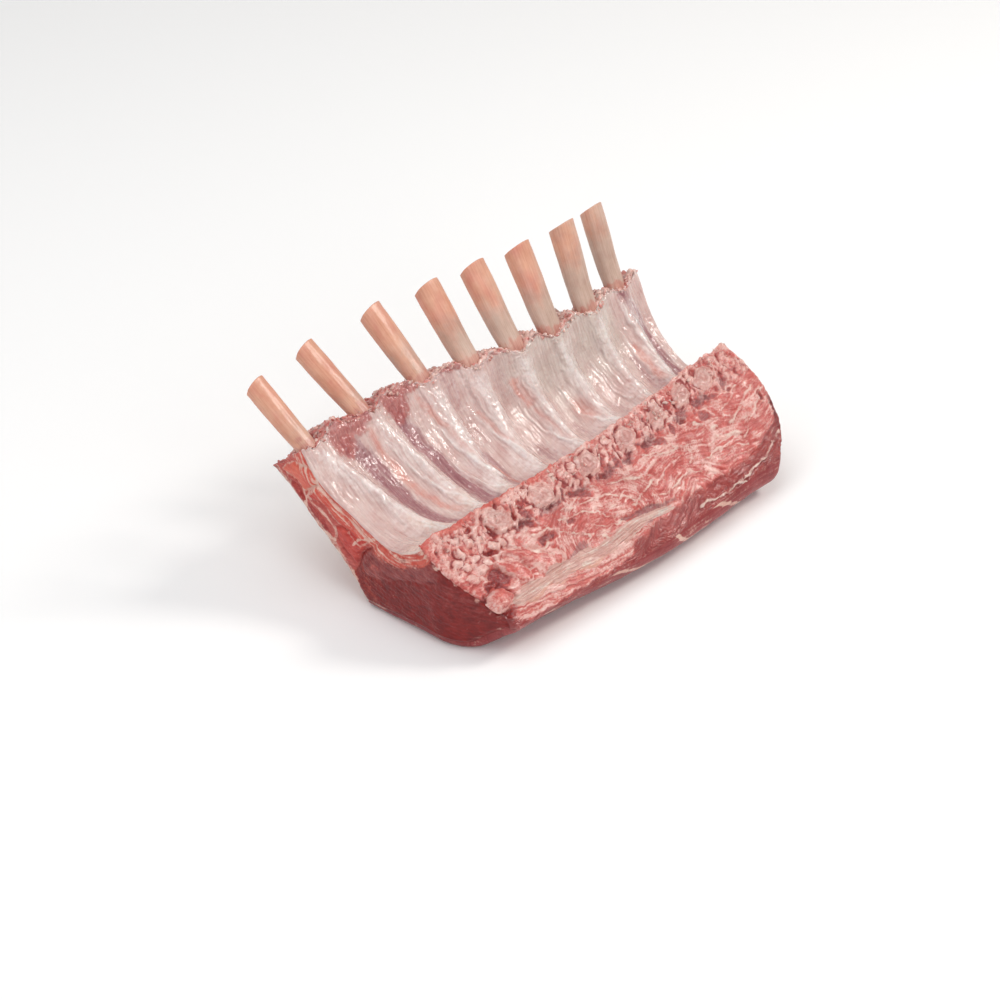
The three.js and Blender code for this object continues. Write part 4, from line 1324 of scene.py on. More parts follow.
def fatMasks(x, _, length):
    spots = level(x, length)
    thin = grain(spots, [30, 15, 9], 85, 3) + 0.35 * grain(spots, [12, 2, 9], 86, 2)
    edge = 1 - ramp(3, 9, length + 3 * grain(spots, 9, 87)) + (1 - ramp(2, 8, length[:, -1:] - length))
    return {
        "thin": 0.15 + 0.5 * thin + 0.4 * edge + 0.5 * (1 - ramp(6, 22, x)) + 0.4 * ramp(188, 204, x),
        "sinew": 0.25 + 0.3 * grain(spots, [26, 5, 9], 88, 3) + 0.3 * grain(spots, 9, 89, 2),
    }


# Covering fat: firm and pale, with a matt, slightly creased surface. Meat shines through where it is thin.
fatLook = dict(
    rimLook,
    name="coveringFat",
    ground=["#d9b5a2", "#ead2c2"],
    mottle=7.0,
    fibre=[9.0, 3.0],
    roughness=[0.36, 0.55],
    wet=0.35,
    layers=[
        ["sinew", "#dcc0b2", "#efe0d4", 0.8, 0.4, 0.7],
        ["thin", "#b5605a", "#cf8a7d", 1.1, 0.4, 0.8],
    ],
)
solidPiece("fatCover", [sheetOf(2, 2.4, fatMasks, 1, 2)], ["fat_cover"], fleshMaterial(fatLook))

# Sawn face.

# Sawn meat and bone: wet red fibres between cream fat, gristle and cut rib heads. A saw leaves it rough, so
# its juice gives it many small glints.
sawnLook = dict(
    rimLook,
    name="sawnMeatAndBone",
    ground=["#ab3a36", "#d36a60"],
    mottle=3.5,
    fibre=[6.0, 0.7],
    ragged=1.2,
    fibreBump=0.35,
    poreBump=0.3,
    roughness=[0.3, 0.5],
    wet=0.9,
    wetRoughness=0.06,
    sparkle=[1.1, 0.3],
    layers=[
        ["belly", "#7d1c1d", "#a43c37", 0.5, 0.35, 1.0],
        ["coral", "#c04a42", "#d97465", 0.9, 0.4, 0.85],
        ["cream", "#d7968a", "#f3d3ca", 1.2, 0.33, 0.95],
        ["head", "#ad8680", "#cfaaa0", 0.8, 0.4, 0.6],
        ["blood", "#7f1e22", "#ad3d39", 1.2, 0.28, 0.9],
        ["silver", "#6c3439", "#a8706f", 1.8, 0.42, 0.72],
        ["white", "#dcbcae", "#ecd8cc", 0.9, 0.35, 0.9],
        ["edgeMeat", "#6b1a1c", "#933330", 1.0, 0.35, 1.0],
    ],
)
solidPiece(
    "sawnFace",
    [sheetOf(4, 3.0, lambda *a: {k: withLast(v) for k, v in faceMasks.items()}, flat=withLast(faceFlow))],
    ["chine"],
    fleshMaterial(sawnLook),
)

# The two cut ends.

cutEnd = {
    "depth": 3.0,  # thickness of the shell, in mm
    "fanAt": [0, 0.35, 0.7, 1],  # rows fan out round the loin: shares of the way round it on the outside,
    "fanFrom": [0, 0.07, 0.18, 0.34],  # and of the way along the trough where those rows start
    "flapAt": 0.5,  # half way up the flap
    "flapFrom": 0.66,
    "edge": 2.2,  # mm over which the relief of the cut runs out
    "blend": 1.2,  # mm over which it turns into the rounded edge
    "splitAt": 0.04,  # the loin's piece ends a little way up the flap
}


def endSheet(first, layout, rowCount, acrossCount):
    # Rows run from the trough's edge to the outside, from the crest to the rim.
    edge = skin[0] if first else skin[-1]
    wall, rimEdge, back, under, front = (
        edge[np.append(columnsOf[k], columnsOf[(k + 1) % 5][0])] for k in range(5)
    )
    outside = np.concatenate([front[::-1][:-1], under[::-1][:-1], back[::-1]])
    length = runOf(outside)
    fanEnd = length[len(front) + len(under) - 2]
    whole = length[-1]
    roundLoin, upFlap = rowCount
    outAt = np.linspace(0, fanEnd, roundLoin, endpoint=False)
    outAt = np.concatenate([outAt, np.linspace(fanEnd, whole, upFlap)])
    shares = outAt / whole
    fan = fanEnd / whole
    # How far along the trough each row starts: slowly round the loin, then evenly up the flap.
    knots = [at * fan for at in cutEnd["fanAt"]] + [mix(fan, 1, cutEnd["flapAt"]), 1.0]
    inAt = np.interp(shares, knots, cutEnd["fanFrom"] + [cutEnd["flapFrom"], 1.0])
    inAt = np.convolve(np.pad(inAt, 15, mode="reflect", reflect_type="odd"), np.ones(31) / 31, "valid")
    inAt[0], inAt[-1] = 0, 1

    t = np.linspace(0, 1, acrossCount)
    inner = pointsAt(wall, np.linspace(0, 1, len(wall)), inAt)
    outer = pointsAt(outside, length, outAt)
    grid = mix(inner[:, None, :], outer[:, None, :], t[None, :, None])
    bend = pointsAt(rimEdge, np.linspace(0, 1, len(rimEdge)), t) - grid[-1]
    grid = grid + bend[None] * ramp(0.85, 1, shares)[:, None, None]
    y, z = grid[:, :, 1] + rack["middleY"], grid[:, :, 2]
    fromTrough, run = awayFrom(y, z, wall[::6, 1:] + [rack["middleY"], 0])
    fromOutside, _ = awayFrom(y, z, outside[::6, 1:] + [rack["middleY"], 0])
    plain = (nearEnd(y) if first else farEnd(y, z)) - rack["middleX"]
    out, values = layout(y, z, fromTrough, run, fromOutside, shares[:, None] + y * 0)
    # The flat end runs into the rounded edges of the skin all round it.
    inward = [np.hypot(y - y[:, [column]], z - z[:, [column]]) for column in (0, -1)]
    x = plain + (-1 if first else 1) * out * ramp(0, cutEnd["edge"], np.minimum(*inward))
    for away, column, side in zip(inward, (0, -1), (1 - t, t)):
        step = grid[:, column, 0] - plain[:, column]
        reach = cutEnd["blend"] + 1.3 * np.abs(step)
        x = x + step[:, None] * side * (1 - ramp(0, 1, away / reach[:, None]))
    grid[:, :, 0] = mix(x, grid[:, :, 0], ramp(0.97, 1, shares)[:, None])
    flat = np.stack([y, z], -1)
    splitRow = int(np.searchsorted(shares, mix(fan, 1, cutEnd["splitAt"])))
    flip = (normalsOf(grid)[:, :, 0].mean() > 0) == first
    made = []
    for part in (slice(0, splitRow + 1), slice(splitRow, len(shares))):
        masks = {key: (value + y * 0)[part] for key, value in values.items()}
        sheet = {"grid": grid[part], "depth": cutEnd["depth"], "flat": flat[part], "masks": masks}
        made.append(dict(sheet, flip=flip, inward=[1 if first else -1, 0, 0]))
    return made


cut = {  # outlines on the near end, as [y, z]
    "blob": [
        *[[100.9, 53.2], [96.4, 58.3], [90.9, 60.4], [85.1, 60.8], [80.7, 58.7]],
        *[[79.2, 55.2], [83.4, 50.8], [87.1, 47.9], [91.6, 50.7], [95.7, 52.4]],
    ],
    "flank": [
        *[[101.5, 48], [98.3, 49.3], [91.7, 48.6], [87.8, 44.8], [86.3, 41.4], [82.6, 36.1], [77.5, 32]],
        *[[73.3, 28.4], [70.5, 22.5], [73.1, 21.2], [76.8, 25.1], [81.7, 32.4], [88.2, 38.6], [92.8, 41.6]],
        [98.7, 42.1],
    ],
    "cap": [
        *[[84.7, 48.2], [78.9, 53.9], [73.8, 49.3], [67.4, 43.4], [60.6, 38.8], [53.9, 34.8]],
        *[[57.6, 30.6], [64.9, 34.3], [72.3, 39.8], [78.8, 44.6], [83.7, 45.6]],
    ],
    "deep": [[85, 43], [80.6, 40.8], [76.3, 36.4], [73.2, 30.4], [74.7, 28.9], [79.6, 32.2], [84.2, 37.4]],
    "side": [
        *[[70.1, 35.6], [65.8, 34.9], [60.8, 33.8], [55.2, 32.2], [57.8, 25.9]],
        *[[60.3, 19.8], [64.4, 22.3], [68.1, 26.1], [70.9, 30.3]],
    ],
    "eye": [
        *[[60.4, 17], [57.2, 26.2], [52.3, 32.1], [43.7, 36.7], [34.6, 39.8], [25.6, 42.3], [17.8, 44.4]],
        *[[12.1, 42.1], [7.1, 39.8], [2, 39.6], [-8, 38], [-18, 34], [-26, 26], [-36, 18], [-42, 6]],
        *[[-34, -8], [30, -8], [72, -6], [66, 10]],
    ],
    "lobe": [
        *[[56.7, 25.4], [50.6, 32.3], [39.1, 37.6], [27.9, 39.8], [16.8, 41.9]],
        *[[12.6, 37.9], [17.1, 29.8], [35.1, 23.3], [46.7, 17.9], [54.7, 17.2]],
    ],
}
muscles = {  # how far each stands out between its seams, in mm, and how wide its edge is rounded
    "eye": [1.5, 7],
    "blob": [1.2, 2.4],
    "flank": [0.9, 2],
    "cap": [0.9, 2],
    "side": [1.0, 2.2],
}
cutSeams = [  # white seams of fat between the muscles, as [y, z], and their widths
    [[[87.7, 47.7], [86.1, 44.6], [86.9, 40.7]], 0.9],
    [[[86.1, 44.6], [78.9, 53.7]], 0.8],
    [[[84.3, 45.4], [77.1, 40.2], [71.5, 35], [71.2, 32.1], [72, 28]], 0.7],
    [[[54, 34], [47, 38], [38, 41], [28, 43.5], [20, 45.5]], 0.8],
    [[[60.5, 30], [58, 33], [53, 35]], 0.7],
]


def endLayout(first):
    # Gives how far the muscles of one cut end stand out, and the masks that colour them.
    def layout(y, z, fromTrough, run, fromOutside, along):
        spots = np.stack([y * 0 + (0 if first else 40), y, z], -1)
        bentY = y + 0.9 * grain(spots, 8, 31, 2)
        bentZ = z + 0.9 * grain(spots, 8, 33, 2)
        inside = {key: insideOf(bentY, bentZ, outline) for key, outline in cut.items()}
        rough = grain(spots, 5, 34, 3)
        upWall = run * 95  # mm
        strands = grain(level(upWall, fromTrough + 0.12 * upWall), [13, 1.2, 9], 35, 3)
        push = 0.3 * grain(spots, 9, 37, 2) + 0.12 * grain(spots, 1.3, 36, 2)
        masks = {key: ramp(-1.1, 0.9, inside[key] + 0.5 * rough) for key in cut}
        for key, (height, width) in muscles.items():
            push += height * (1 - np.exp(-np.maximum(inside[key], 0) / width))
            push -= 0.55 * bell(inside[key], 0, 0.9)
        push += 0.5 * (1 - np.exp(-np.maximum(inside["lobe"], 0) / 3))
        push -= 0.35 * bell(inside["lobe"], 0, 1.3)
        seam = np.zeros_like(y)
        for points, width in cutSeams:
            away, _ = awayFrom(bentY, bentZ, points)
            seam = np.maximum(seam, 1 - ramp(width * 0.5, width * 1.4, away + 0.3 * rough))
        rimBand = 1 - ramp(3.5, 9.0, fromTrough + 1.8 * rough)
        flapPart = ramp(0.55, 0.66, along)
        cream = 0.62 * seam + rimBand * (0.36 + 0.5 * strands) + 0.2 * strands * flapPart
        cream += 0.5 * bell(inside["blob"], 0, 0.7) + 0.4 * bell(inside["cap"], 0, 0.6)
        cream += (1 - ramp(1.0, 3.2, fromOutside + rough)) * (0.3 * rough + 0.6 * flapPart)
        cream += 0.12 * rough + 0.1 * strands
        coral = rimBand * (0.75 - 0.5 * strands) + 0.3 * flapPart + 0.2 * rough
        push += 0.3 * strands * np.maximum(rimBand, 0.5 * flapPart)
        eye = np.maximum(masks["eye"], 0)
        streaks = grain(level(y + 0.5 * z, z - 0.25 * y), [11, 2.2, 9], 38, 3)
        lobe = masks["lobe"] * (0.62 + 0.35 * streaks + 0.2 * rough)
        haze = eye * (0.28 + 0.3 * streaks) * (1 - masks["lobe"]) * ramp(8, 26, z)
        dark = np.maximum(masks["flank"] * 0.85, masks["deep"])
        red = np.maximum(masks["cap"], masks["side"] * 0.6)
        edgeGristle = 1 - ramp(2.0, 6.0, fromOutside + 2.0 * rough)
        edgeGristle = edgeGristle * (1 - ramp(0.1, 0.17, along + 0.02 * rough))
        cream += edgeGristle * (0.35 + 0.5 * rough)
        push += edgeGristle * 0.8 * rough
        push += 0.18 * streaks * eye
        return push, {
            "eye": eye,
            "lobe": lobe,
            "haze": haze,
            "dark": dark,
            "red": red,
            "coral": coral,
            "cream": cream,
            "blob": masks["blob"],
        }

    return layout


nearLoin, nearFlap = endSheet(True, endLayout(True), (340, 190), 141)
farLoin, farFlap = endSheet(False, endLayout(False), (200, 110), 73)
# Fresh cut muscle: each muscle has its own red, from the dark eye to the bright blob by the rim, between
# creamy seams. A knife leaves it fine-grained and satin, so it shines softly.
endLook = dict(
    rimLook,
    name="freshCutMuscle",
    ground=["#a33b37", "#c4635a"],
    mottle=5.0,
    fibre=[4.0, 1.2],
    ragged=1.4,
    roughness=[0.34, 0.5],
    wet=0.3,
    wetRoughness=0.12,
    sparkle=[1.2, 0.2],
    layers=[
        ["red", "#b02c28", "#c9483d", 0.5, 0.3, 1.0],
        ["blob", "#cc5646", "#e07862", 0.5, 0.3, 1.0],
        ["dark", "#861f20", "#a83834", 0.5, 0.3, 1.0],
        ["eye", "#620a0b", "#8b1f1b", 0.4, 0.3, 1.0],
        ["haze", "#8a3b3b", "#a85c57", 1.0, 0.4, 0.7],
        ["lobe", "#7e3336", "#a55b56", 0.9, 0.4, 0.8],
        ["coral", "#c4443a", "#d86c5a", 0.8, 0.3, 0.9],
        ["cream", "#d39a8b", "#e8c8b9", 1.0, 0.32, 0.95],
    ],
)
endMaterial = fleshMaterial(endLook)
solidPiece("nearLoinEnd", [nearLoin], ["loin_eye"], endMaterial)
solidPiece("nearFlapEnd", [nearFlap], ["rib_cap"], endMaterial)
solidPiece("farEndMeat", [farLoin, farFlap], ["flank"], endMaterial)

# The belly of the loin, from the foot of the flap to the foot of the sawn face.


bellySeams = [  # seams of fat: points as [along the rack, down from the foot of the sawn face], width
    ([[136, -2], [147, 3], [156, 9], [166, 16]], 1.2),
    ([[188, -4], [195, 3], [201, 10]], 1.2),
    ([[108, -4], [114, 4], [124, 9], [138, 13]], 1.2),
    ([[70, 0], [90, 6], [112, 8]], 0.9),
    ([[24, -2], [40, 6], [62, 9]], 0.9),
    ([[160, 30], [120, 34], [80, 30], [40, 34]], 1.1),
]


def bellyMasks(x, _, length):
    spots = level(x, length)
    down = length[:, -1:] - length
    seam = np.zeros_like(x)
    for points, width in bellySeams:
        away, _ = awayFrom(x, down, points)
        line = 1 - ramp(width * 0.4, width * 1.3, away + 0.5 * grain(spots, 5, 81, 2))
        seam = np.maximum(seam, line)
    lines = grain(spots, [26, 1.6, 9], 82, 3)
    silverSkin = ramp(0.1, 0.9, grain(spots, [34, 12, 9], 83, 2)) * ramp(12, 30, down)
    cream = 0.75 * seam + 0.16 + 0.28 * lines + 0.25 * grain(spots, 9, 84, 2)
    return {"cream": cream, "haze": silverSkin + 0.3 * lines}


# The loin's underside: dark red muscle, with a dull veil of silver skin that takes away some of its colour.
bellyLook = dict(
    endLook,
    name="loinUnderside",
    ground=["#7c2527", "#9f4040"],
    mottle=6.0,
    fibre=[14.0, 0.9],
    layers=[
        ["haze", "#935052", "#b98480", 0.9, 0.4, 0.7],
        ["cream", "#c98f80", "#e3c0b0", 0.8, 0.3, 0.95],
    ],
)
solidPiece("loinBelly", [sheetOf(3, 3.0, bellyMasks, 1, 2)], [], fleshMaterial(bellyLook))

# The ligament: a slack, glossy white band along the foot of the sawn face.

ligament = {
    "line": [  # as [along the rack, down from the crest]
        *[[12.5, 47], [24, 45.8], [41, 44.8], [56, 45.2], [70, 46.2]],
        *[[84, 45.2], [97, 44.2], [110, 46], [122, 48.4]],
    ],
    "halfWidth": 4.0,
    "height": 0.75,
    "sunk": 0.28,  # mm, so that its edges lie in the face
    "depth": 1.2,
    "steps": 420,
    "across": 37,
}


def onFace(x, down):
    # The displaced face at a distance along the rack and down from the crest.
    surface = skin[:, faceColumns]
    order = np.arange(len(faceColumns))
    last = len(skin) - 1
    rows = np.clip(x / rack["length"], 0, 1) * last
    for _ in range(4):
        i = np.clip(rows.round().astype(int), 0, last)
        columns = [np.interp(-d, -faceDown[a], order) for a, d in zip(i.ravel(), down.ravel())]
        columns = np.reshape(columns, down.shape)
        j = np.clip(columns.round().astype(int), 0, len(faceColumns) - 1)
        rows = np.clip(rows + (x - skinX[i, faceColumns[j]]) * last / rack["length"], 0, last)
    i = np.clip(np.floor(rows).astype(int), 0, last - 1)
    j = np.clip(np.floor(columns).astype(int), 0, len(faceColumns) - 2)
    a, b = (rows - i)[..., None], (columns - j)[..., None]
    low = mix(surface[i, j], surface[i, j + 1], b)
    high = mix(surface[i + 1, j], surface[i + 1, j + 1], b)
    return mix(low, high, a), skinNormal[:, faceColumns][i, j]


def ligamentSheet():
    line = smoothLine(ligament["line"])
    run = runOf(line)
    at = np.linspace(0, run[-1], ligament["steps"])
    middle = pointsAt(line, run, at)
    side = np.gradient(middle, axis=0)
    side = np.stack([-side[:, 1], side[:, 0]], 1) / np.linalg.norm(side, axis=1)[:, None]
    share = at / at[-1]
    noise = grain(np.stack([at, at * 0, at * 0], -1), 9, 91, 3)
    half = ligament["halfWidth"] * (1 - 0.6 * ramp(0.55, 1, share)) * (1 + 0.4 * noise)
    half = half * np.sqrt(np.clip(share * 12, 0, 1))
    w = np.linspace(-1, 1, ligament["across"])
    x = middle[:, :1] + side[:, :1] * half[:, None] * w
    down = middle[:, 1:] + side[:, 1:] * half[:, None] * w
    base, normal = onFace(x, down)
    place = level(at[:, None] + w * 0, w * half[:, None])
    strands = grain(place, [24, 0.9, 9], 92, 3)
    core = ramp(-0.35, 0.5, grain(place, [16, 4, 9], 94, 2)) * (1 - ramp(0.35, 0.95, np.abs(w)))
    dome = np.sqrt(np.clip(1 - w**2, 0, 1)) * ligament["height"] * (1 + 0.2 * noise[:, None])
    ends = ramp(0, 0.05, share) * (1 - ramp(0.9, 1, share))
    lift = (dome + 0.8 * strands * dome) * ends[:, None] - ligament["sunk"]
    grid = base + normal * lift[..., None]
    masks = {
        # Pale colour along the strands and the middle: partly the ligament's own white, partly a painted
        # sheen.
        "paleAndSheen": 0.08 + 0.4 * strands + 0.6 * core * (0.55 + 0.5 * grain(place, [10, 3, 9], 95, 2)),
        "grey": (0.25 + 0.6 * grain(place, [12, 2, 9], 93, 2)) * ramp(0.3, 0.8, share)[:, None],
        "orange": ramp(0.3, 1.0, w + 0.5 * strands) * (1 - ramp(0.5, 0.8, share))[:, None],
    }
    flip = (normalsOf(grid) * normal).sum(2).mean() < 0
    flat, depth = place[:, :, :2], ligament["depth"]
    return {"grid": grid, "depth": depth, "flat": flat, "masks": masks, "flip": flip}


# Glossy ligament: long, tough strands with hardly any blood in them, whitest in the middle. Its slick skin
# shines along the strands. Its pale layer is partly the ligament's own white and partly a painted sheen along
# its middle and its strands.
ligamentLook = dict(
    rimLook,
    name="glossyLigament",
    ground=["#c08a80", "#d9aea2"],
    mottle=7.0,
    fibre=[14.0, 0.6],
    fibreBump=0.3,
    wet=0.8,
    wetRoughness=0.1,
    layers=[
        ["orange", "#cf8672", "#dfa895", 0.7, 0.35, 0.85],
        ["grey", "#8f7d7a", "#bfaea6", 0.9, 0.3, 0.85],
        ["paleAndSheen", "#dccdc2", "#efe6dc", 1.0, 0.35, 0.9],
    ],
)
solidPiece("ligamentBand", [ligamentSheet()], ["backstrap"], fleshMaterial(ligamentLook))

# The clean rib bones.

bones = {
    "rings": 48,
    "steps": 140,
    "bare": [0.985, 0.6, 0.25],  # spots of the path, as shares of the bare length from the rim
    "meat": [0.96, 0.86],  # and inside the meat, as shares up the trough's wall
    "rimDepth": 6.0,  # mm from the trough's surface to the middle of the bone
    "meatDepth": 5.6,
    "deeper": 16,  # and how much deeper a spot at the foot of the wall would lie
    "size": 0.96,  # of the solid rib's width and thickness
    "taper": 0.17,
    "flatness": 0.07,
    "slant": (0.5, 1.6),  # mm that the saw cut leans along the rack and away from the trough
    "slantRun": 14,
    "setBack": 1.3,
    "capShare": [0.0, 0.3, 0.6, 0.82, 0.93],  # rings of the cut, from its middle
    "capLift": [0.0, 0.05, 0.2, 0.3, 0.22],  # mm
}


def centripetal(points, shares):
    # Points at equal shares of the length of a smooth path through a few spots.
    points = np.asarray(points, float)
    before, after = 2 * points[0] - points[1], 2 * points[-1] - points[-2]
    points = np.concatenate([[before], points, [after]])
    dense = []
    for i in range(1, len(points) - 2):
        p = points[i - 1 : i + 3]
        knots = np.concatenate([[0], np.cumsum(np.linalg.norm(np.diff(p, axis=0), axis=1) ** 0.5)])
        t = np.linspace(knots[1], knots[2], 60, endpoint=i == len(points) - 3)[:, None]

        def between(a, b, first, last):
            return a + (b - a) * (t - knots[first]) / (knots[last] - knots[first])

        a1, a2, a3 = (between(p[k], p[k + 1], k, k + 1) for k in range(3))
        b1, b2 = between(a1, a2, 0, 2), between(a2, a3, 1, 3)
        dense.append(between(b1, b2, 1, 2))
    dense = np.concatenate(dense)
    length = runOf(dense)
    return pointsAt(dense, length, np.asarray(shares) * length[-1]), length[-1]


def ribTube(rib, number):
    lean = math.radians(rib["lean"])
    root = offCurve(profiles(np.array([rib["rimX"]], float))["inner"], 1, bones["rimDepth"])[0]
    spots = []
    for part in bones["bare"]:
        reach = rib["bare"] * part
        x = mix(rib["rimX"], rib["tipX"], part)
        spots.append([x, root[0] + reach * math.cos(lean), root[1] + reach * math.sin(lean)])
    for u in bones["meat"]:
        x = float(ribAcross(rib, u))
        depth = bones["meatDepth"] + bones["deeper"] * (bones["meat"][0] - u)
        spot = offCurve(profiles(np.array([x]))["inner"], u, depth)[0]
        spots.append([x, spot[0], spot[1]])
    path, length = centripetal(spots, np.linspace(0, 1, bones["steps"]))
    axis = -np.gradient(path, axis=0)
    axis /= np.linalg.norm(axis, axis=1)[:, None]
    across = np.array([1.0, 0, 0]) - axis * axis[:, :1]
    across /= np.linalg.norm(across, axis=1)[:, None]
    through = np.cross(across, axis)
    down = np.linspace(0, length, bones["steps"])
    turn = np.linspace(0, 2 * math.pi, bones["rings"] + 1)
    taper = 1 - bones["taper"] * ramp(6, 50, down)
    wide = rib["wide"] * taper / 2 * bones["size"]
    thick = rib["thick"] * taper / 2 * bones["size"]
    a, b = np.cos(turn), np.sin(turn)
    # The section is an oval with slightly flattened sides.
    flatness = 1 - bones["flatness"] * np.abs(np.sin(2 * turn))
    ring = across[:, None] * (a * wide[:, None] / flatness)[:, :, None]
    ring = ring + through[:, None] * (b * thick[:, None] / flatness)[:, :, None]
    # The saw cut leans away from the trough, and rises a little along the rack.
    along, away = bones["slant"]
    shear = (along * a + away * b) * (1 - ramp(0, bones["slantRun"], down))[:, None]
    body = path[:, None] + ring + axis[:, None] * (shear - bones["setBack"])[:, :, None]
    apart = number * 50.0  # so that no two bones have the same bumps
    place = np.stack([down[:, None] + turn * 0, a * wide[:, None], b * thick[:, None] + apart], -1)
    push = 0.16 * grain(place, [14, 5, 5], 41, 2) + 0.06 * grain(place, [9, 1.1, 1.1], 42, 2)
    push *= ramp(0, 2.5, down)[:, None]
    outward = ring / np.linalg.norm(ring, axis=2)[:, :, None]
    body = body + outward * push[:, :, None]
    # The cut is flat, with a worn edge, and its middle is slightly hollow.
    middle = body[0, :-1].mean(0)
    shrink = np.array(bones["capShare"])
    lift = np.array(bones["capLift"])
    cap = middle + (body[0] - middle) * shrink[:, None, None] + axis[0] * lift[:, None, None]
    grid = np.concatenate([cap, body])
    grid -= [rack["middleX"], rack["middleY"], 0]
    downAll = np.concatenate([np.zeros(len(shrink)), down])[:, None] + turn * 0
    onCut = np.concatenate([np.ones(len(shrink)), np.zeros(len(down))])[:, None] + turn * 0
    spots = np.stack(np.broadcast_arrays(downAll, a * 6, b * 5 + apart), -1)
    patchy = grain(spots, [14, 6, 6], 43, 2)
    bare = rib["bare"]
    # Painted shade: the side of each bone towards the far end, and a little its back, is painted greyer.
    side = 0.5 + 0.5 * (0.8 * a - 0.3 * b)[None, :]
    grey = rib["grey"] + rib["rootGrey"] * ramp(0.15, 0.85, downAll / bare)
    flush = 0.3 + 0.45 * grain(spots, [11, 5, 5], 44, 2)
    # The grey mask holds the bone's own grey and the painted shade on its far side.
    masks = {
        "grey": grey + 0.4 * (side - 0.5) + 0.25 * patchy,
        "flush": flush + rib["flush"] * ramp(0.1, 0.5, downAll / bare),
        "film": ramp(bare - 7, bare + 1, downAll + 3.5 * grain(spots, [4, 3, 3], 45, 2)),
        "marrow": onCut * np.concatenate([1.1 - shrink, np.zeros(len(down))])[:, None],
    }
    flat = np.stack([downAll, turn * rib["wide"] / 2 + downAll * 0], -1)
    return grid, flat, masks


def closedTubes(name, tubes, nodes, material):
    corners, faces, uvs = [], [], []
    masks = {}
    count = 0
    for grid, flat, values in tubes:
        rows, columns = grid.shape[0], grid.shape[1] - 1
        corners.append(grid[:, :-1].reshape(-1, 3))
        index = np.arange(rows * columns).reshape(rows, columns) + count
        following = np.roll(index, -1, 1)
        faces += np.stack([index[:-1], following[:-1], following[1:], index[1:]], -1).reshape(-1, 4).tolist()
        faces.append(index[-1].tolist())
        uvs.append(flat[:, :-1].reshape(-1, 2) / 1000)
        for key, value in values.items():
            masks.setdefault(key, []).append(np.broadcast_to(value, grid.shape[:2])[:, :-1].ravel())
        count += rows * columns
    corners = np.concatenate(corners)
    mesh = bpy.data.meshes.new(name)
    mesh.from_pydata((corners / 1000).tolist(), [], faces)
    mesh.polygons.foreach_set("use_smooth", np.ones(len(mesh.polygons), bool))
    loops = np.zeros(len(mesh.loops), np.int32)
    mesh.loops.foreach_get("vertex_index", loops)
    layer = mesh.uv_layers.new(name="surface")
    layer.data.foreach_set("uv", np.concatenate(uvs)[loops].ravel())
    for key, parts in masks.items():
        storeMask(mesh, key, np.concatenate(parts))
    work = bmesh.new()
    work.from_mesh(mesh)
    bmesh.ops.remove_doubles(work, verts=work.verts, dist=1e-6)
    bmesh.ops.recalc_face_normals(work, faces=work.faces)
    work.to_mesh(mesh)
    work.free()
    mesh.materials.append(material)
    piece = bpy.data.objects.new(name, mesh)
    bpy.context.scene.collection.objects.link(piece)
    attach(piece, "root")
    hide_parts(*nodes)
    low, high = corners.min(0).round(1), corners.max(0).round(1)
    print(name, "faces", len(mesh.polygons), "from", low, "to", high)


# Fresh rib bone: scraped clean, so it is smooth, warm ivory and only just moist. It is pinker in the middle
# of the rack, grey by the meat, and has a film of red where the meat begins. Its side towards the far end is
# painted greyer, as painted shade.
boneLook = dict(
    rimLook,
    name="freshRibBone",
    ground=["#cb8d74", "#e0ac92"],
    mottle=11.0,
    fibre=[16.0, 1.1],
    ragged=2.5,
    roughness=[0.38, 0.55],
    fibreBump=0.06,
    poreBump=0.05,
    sparkle=[1.4, 0.08],
    wet=0.35,
    wetRoughness=0.2,
    glow=0.12,
    layers=[
        ["flush", "#c97a6c", "#db9583", 0.6, 0.45, 0.7],
        ["grey", "#b59889", "#d0b7a8", 0.5, 0.45, 0.92],
        ["film", "#b0685e", "#d3a090", 1.0, 0.3, 0.85],
        ["marrow", "#d08b78", "#e6bca8", 0.5, 0.35, 0.9],
    ],
)
tubes = [ribTube(rib, number) for number, rib in enumerate(ribs)]
closedTubes("ribBones", tubes, [f"rib_{i + 1}" for i in range(8)], fleshMaterial(boneLook))

# Camera, light and floor, in metres.

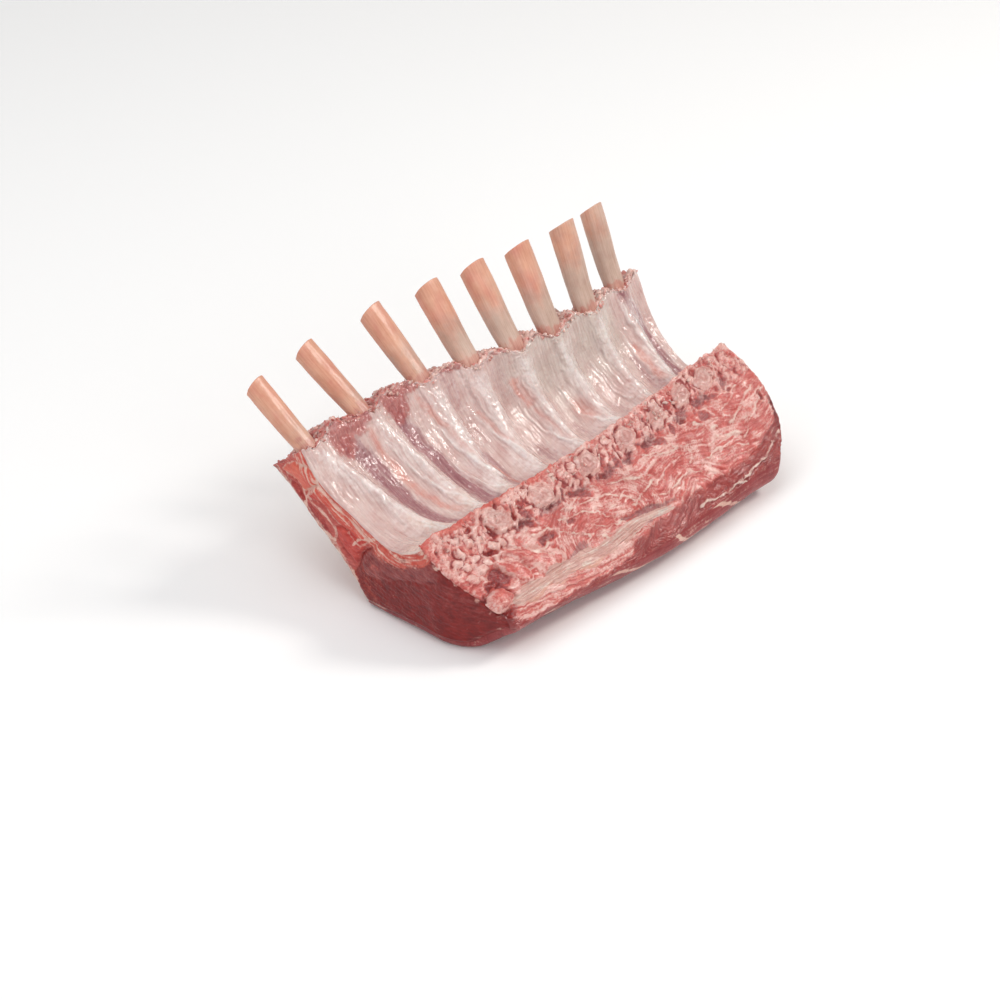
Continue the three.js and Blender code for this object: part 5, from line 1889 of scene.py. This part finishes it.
view = {
    "lens": 86.0,
    "sensor": 36,
    "place": (-0.70214, -0.59395, 0.6179),
    "forward": (0.626, 0.548, -0.554),
}
camera = bpy.data.objects.new("camera", bpy.data.cameras.new("camera"))
camera.data.lens = view["lens"]
camera.data.sensor_width = view["sensor"]
camera.location = view["place"]
camera.rotation_euler = Vector(view["forward"]).to_track_quat("-Z", "Y").to_euler()
bpy.context.scene.collection.objects.link(camera)
bpy.context.scene.camera = camera

studio = {"aim": (0, 0, 0.03), "fill": 0.4, "floor": 4, "floorDown": 0.0003}
lamps = [
    {"name": "key", "place": (0.92, -0.6, 1.05), "size": 0.42, "power": 8.6, "colour": "#fffaf4"},
    {"name": "front", "place": (-0.35, -1.3, 0.8), "size": 0.9, "power": 4.2, "colour": "#ffffff"},
    {"name": "top", "place": (-0.3, 0.2, 1.5), "size": 1.4, "power": 8, "colour": "#ffffff"},
    {"name": "left", "place": (-1.3, 0.1, 0.8), "size": 0.9, "power": 3.2, "colour": "#f6f9ff"},
]
for lamp in lamps:
    data = bpy.data.lights.new(lamp["name"], "AREA")
    data.shape = "DISK"
    data.size = lamp["size"]
    data.energy = lamp["power"]
    data.color = linear(lamp["colour"])[:3]
    light = bpy.data.objects.new(lamp["name"], data)
    light.location = lamp["place"]
    towards = Vector(studio["aim"]) - Vector(lamp["place"])
    light.rotation_euler = towards.to_track_quat("-Z", "Y").to_euler()
    bpy.context.scene.collection.objects.link(light)

world = bpy.data.worlds.new("studio")
bpy.context.scene.world = world
world.use_nodes = True
background = world.node_tree.nodes["Background"]
background.inputs["Color"].default_value = (1, 1, 1, 1)
background.inputs["Strength"].default_value = studio["fill"]
print("camera and lights set")

floorMesh = bpy.data.meshes.new("floor")
reach, z = studio["floor"], -studio["floorDown"]
corners = [(-reach, -reach, z), (reach, -reach, z), (reach, reach, z), (-reach, reach, z)]
floorMesh.from_pydata(corners, [], [(0, 1, 2, 3)])
floor = bpy.data.objects.new("floor", floorMesh)
bpy.context.scene.collection.objects.link(floor)
# Mat paper: plain white with no shine, so the meat stands out against it.
paper = bpy.data.materials.new("matPaper")
paper.use_nodes = True
paperShader = paper.node_tree.nodes["Principled BSDF"]
paperShader.inputs["Base Color"].default_value = linear("#ffffff")
paperShader.inputs["Roughness"].default_value = 0.9
floorMesh.materials.append(paper)

bpy.context.scene.view_settings.view_transform = "Standard"
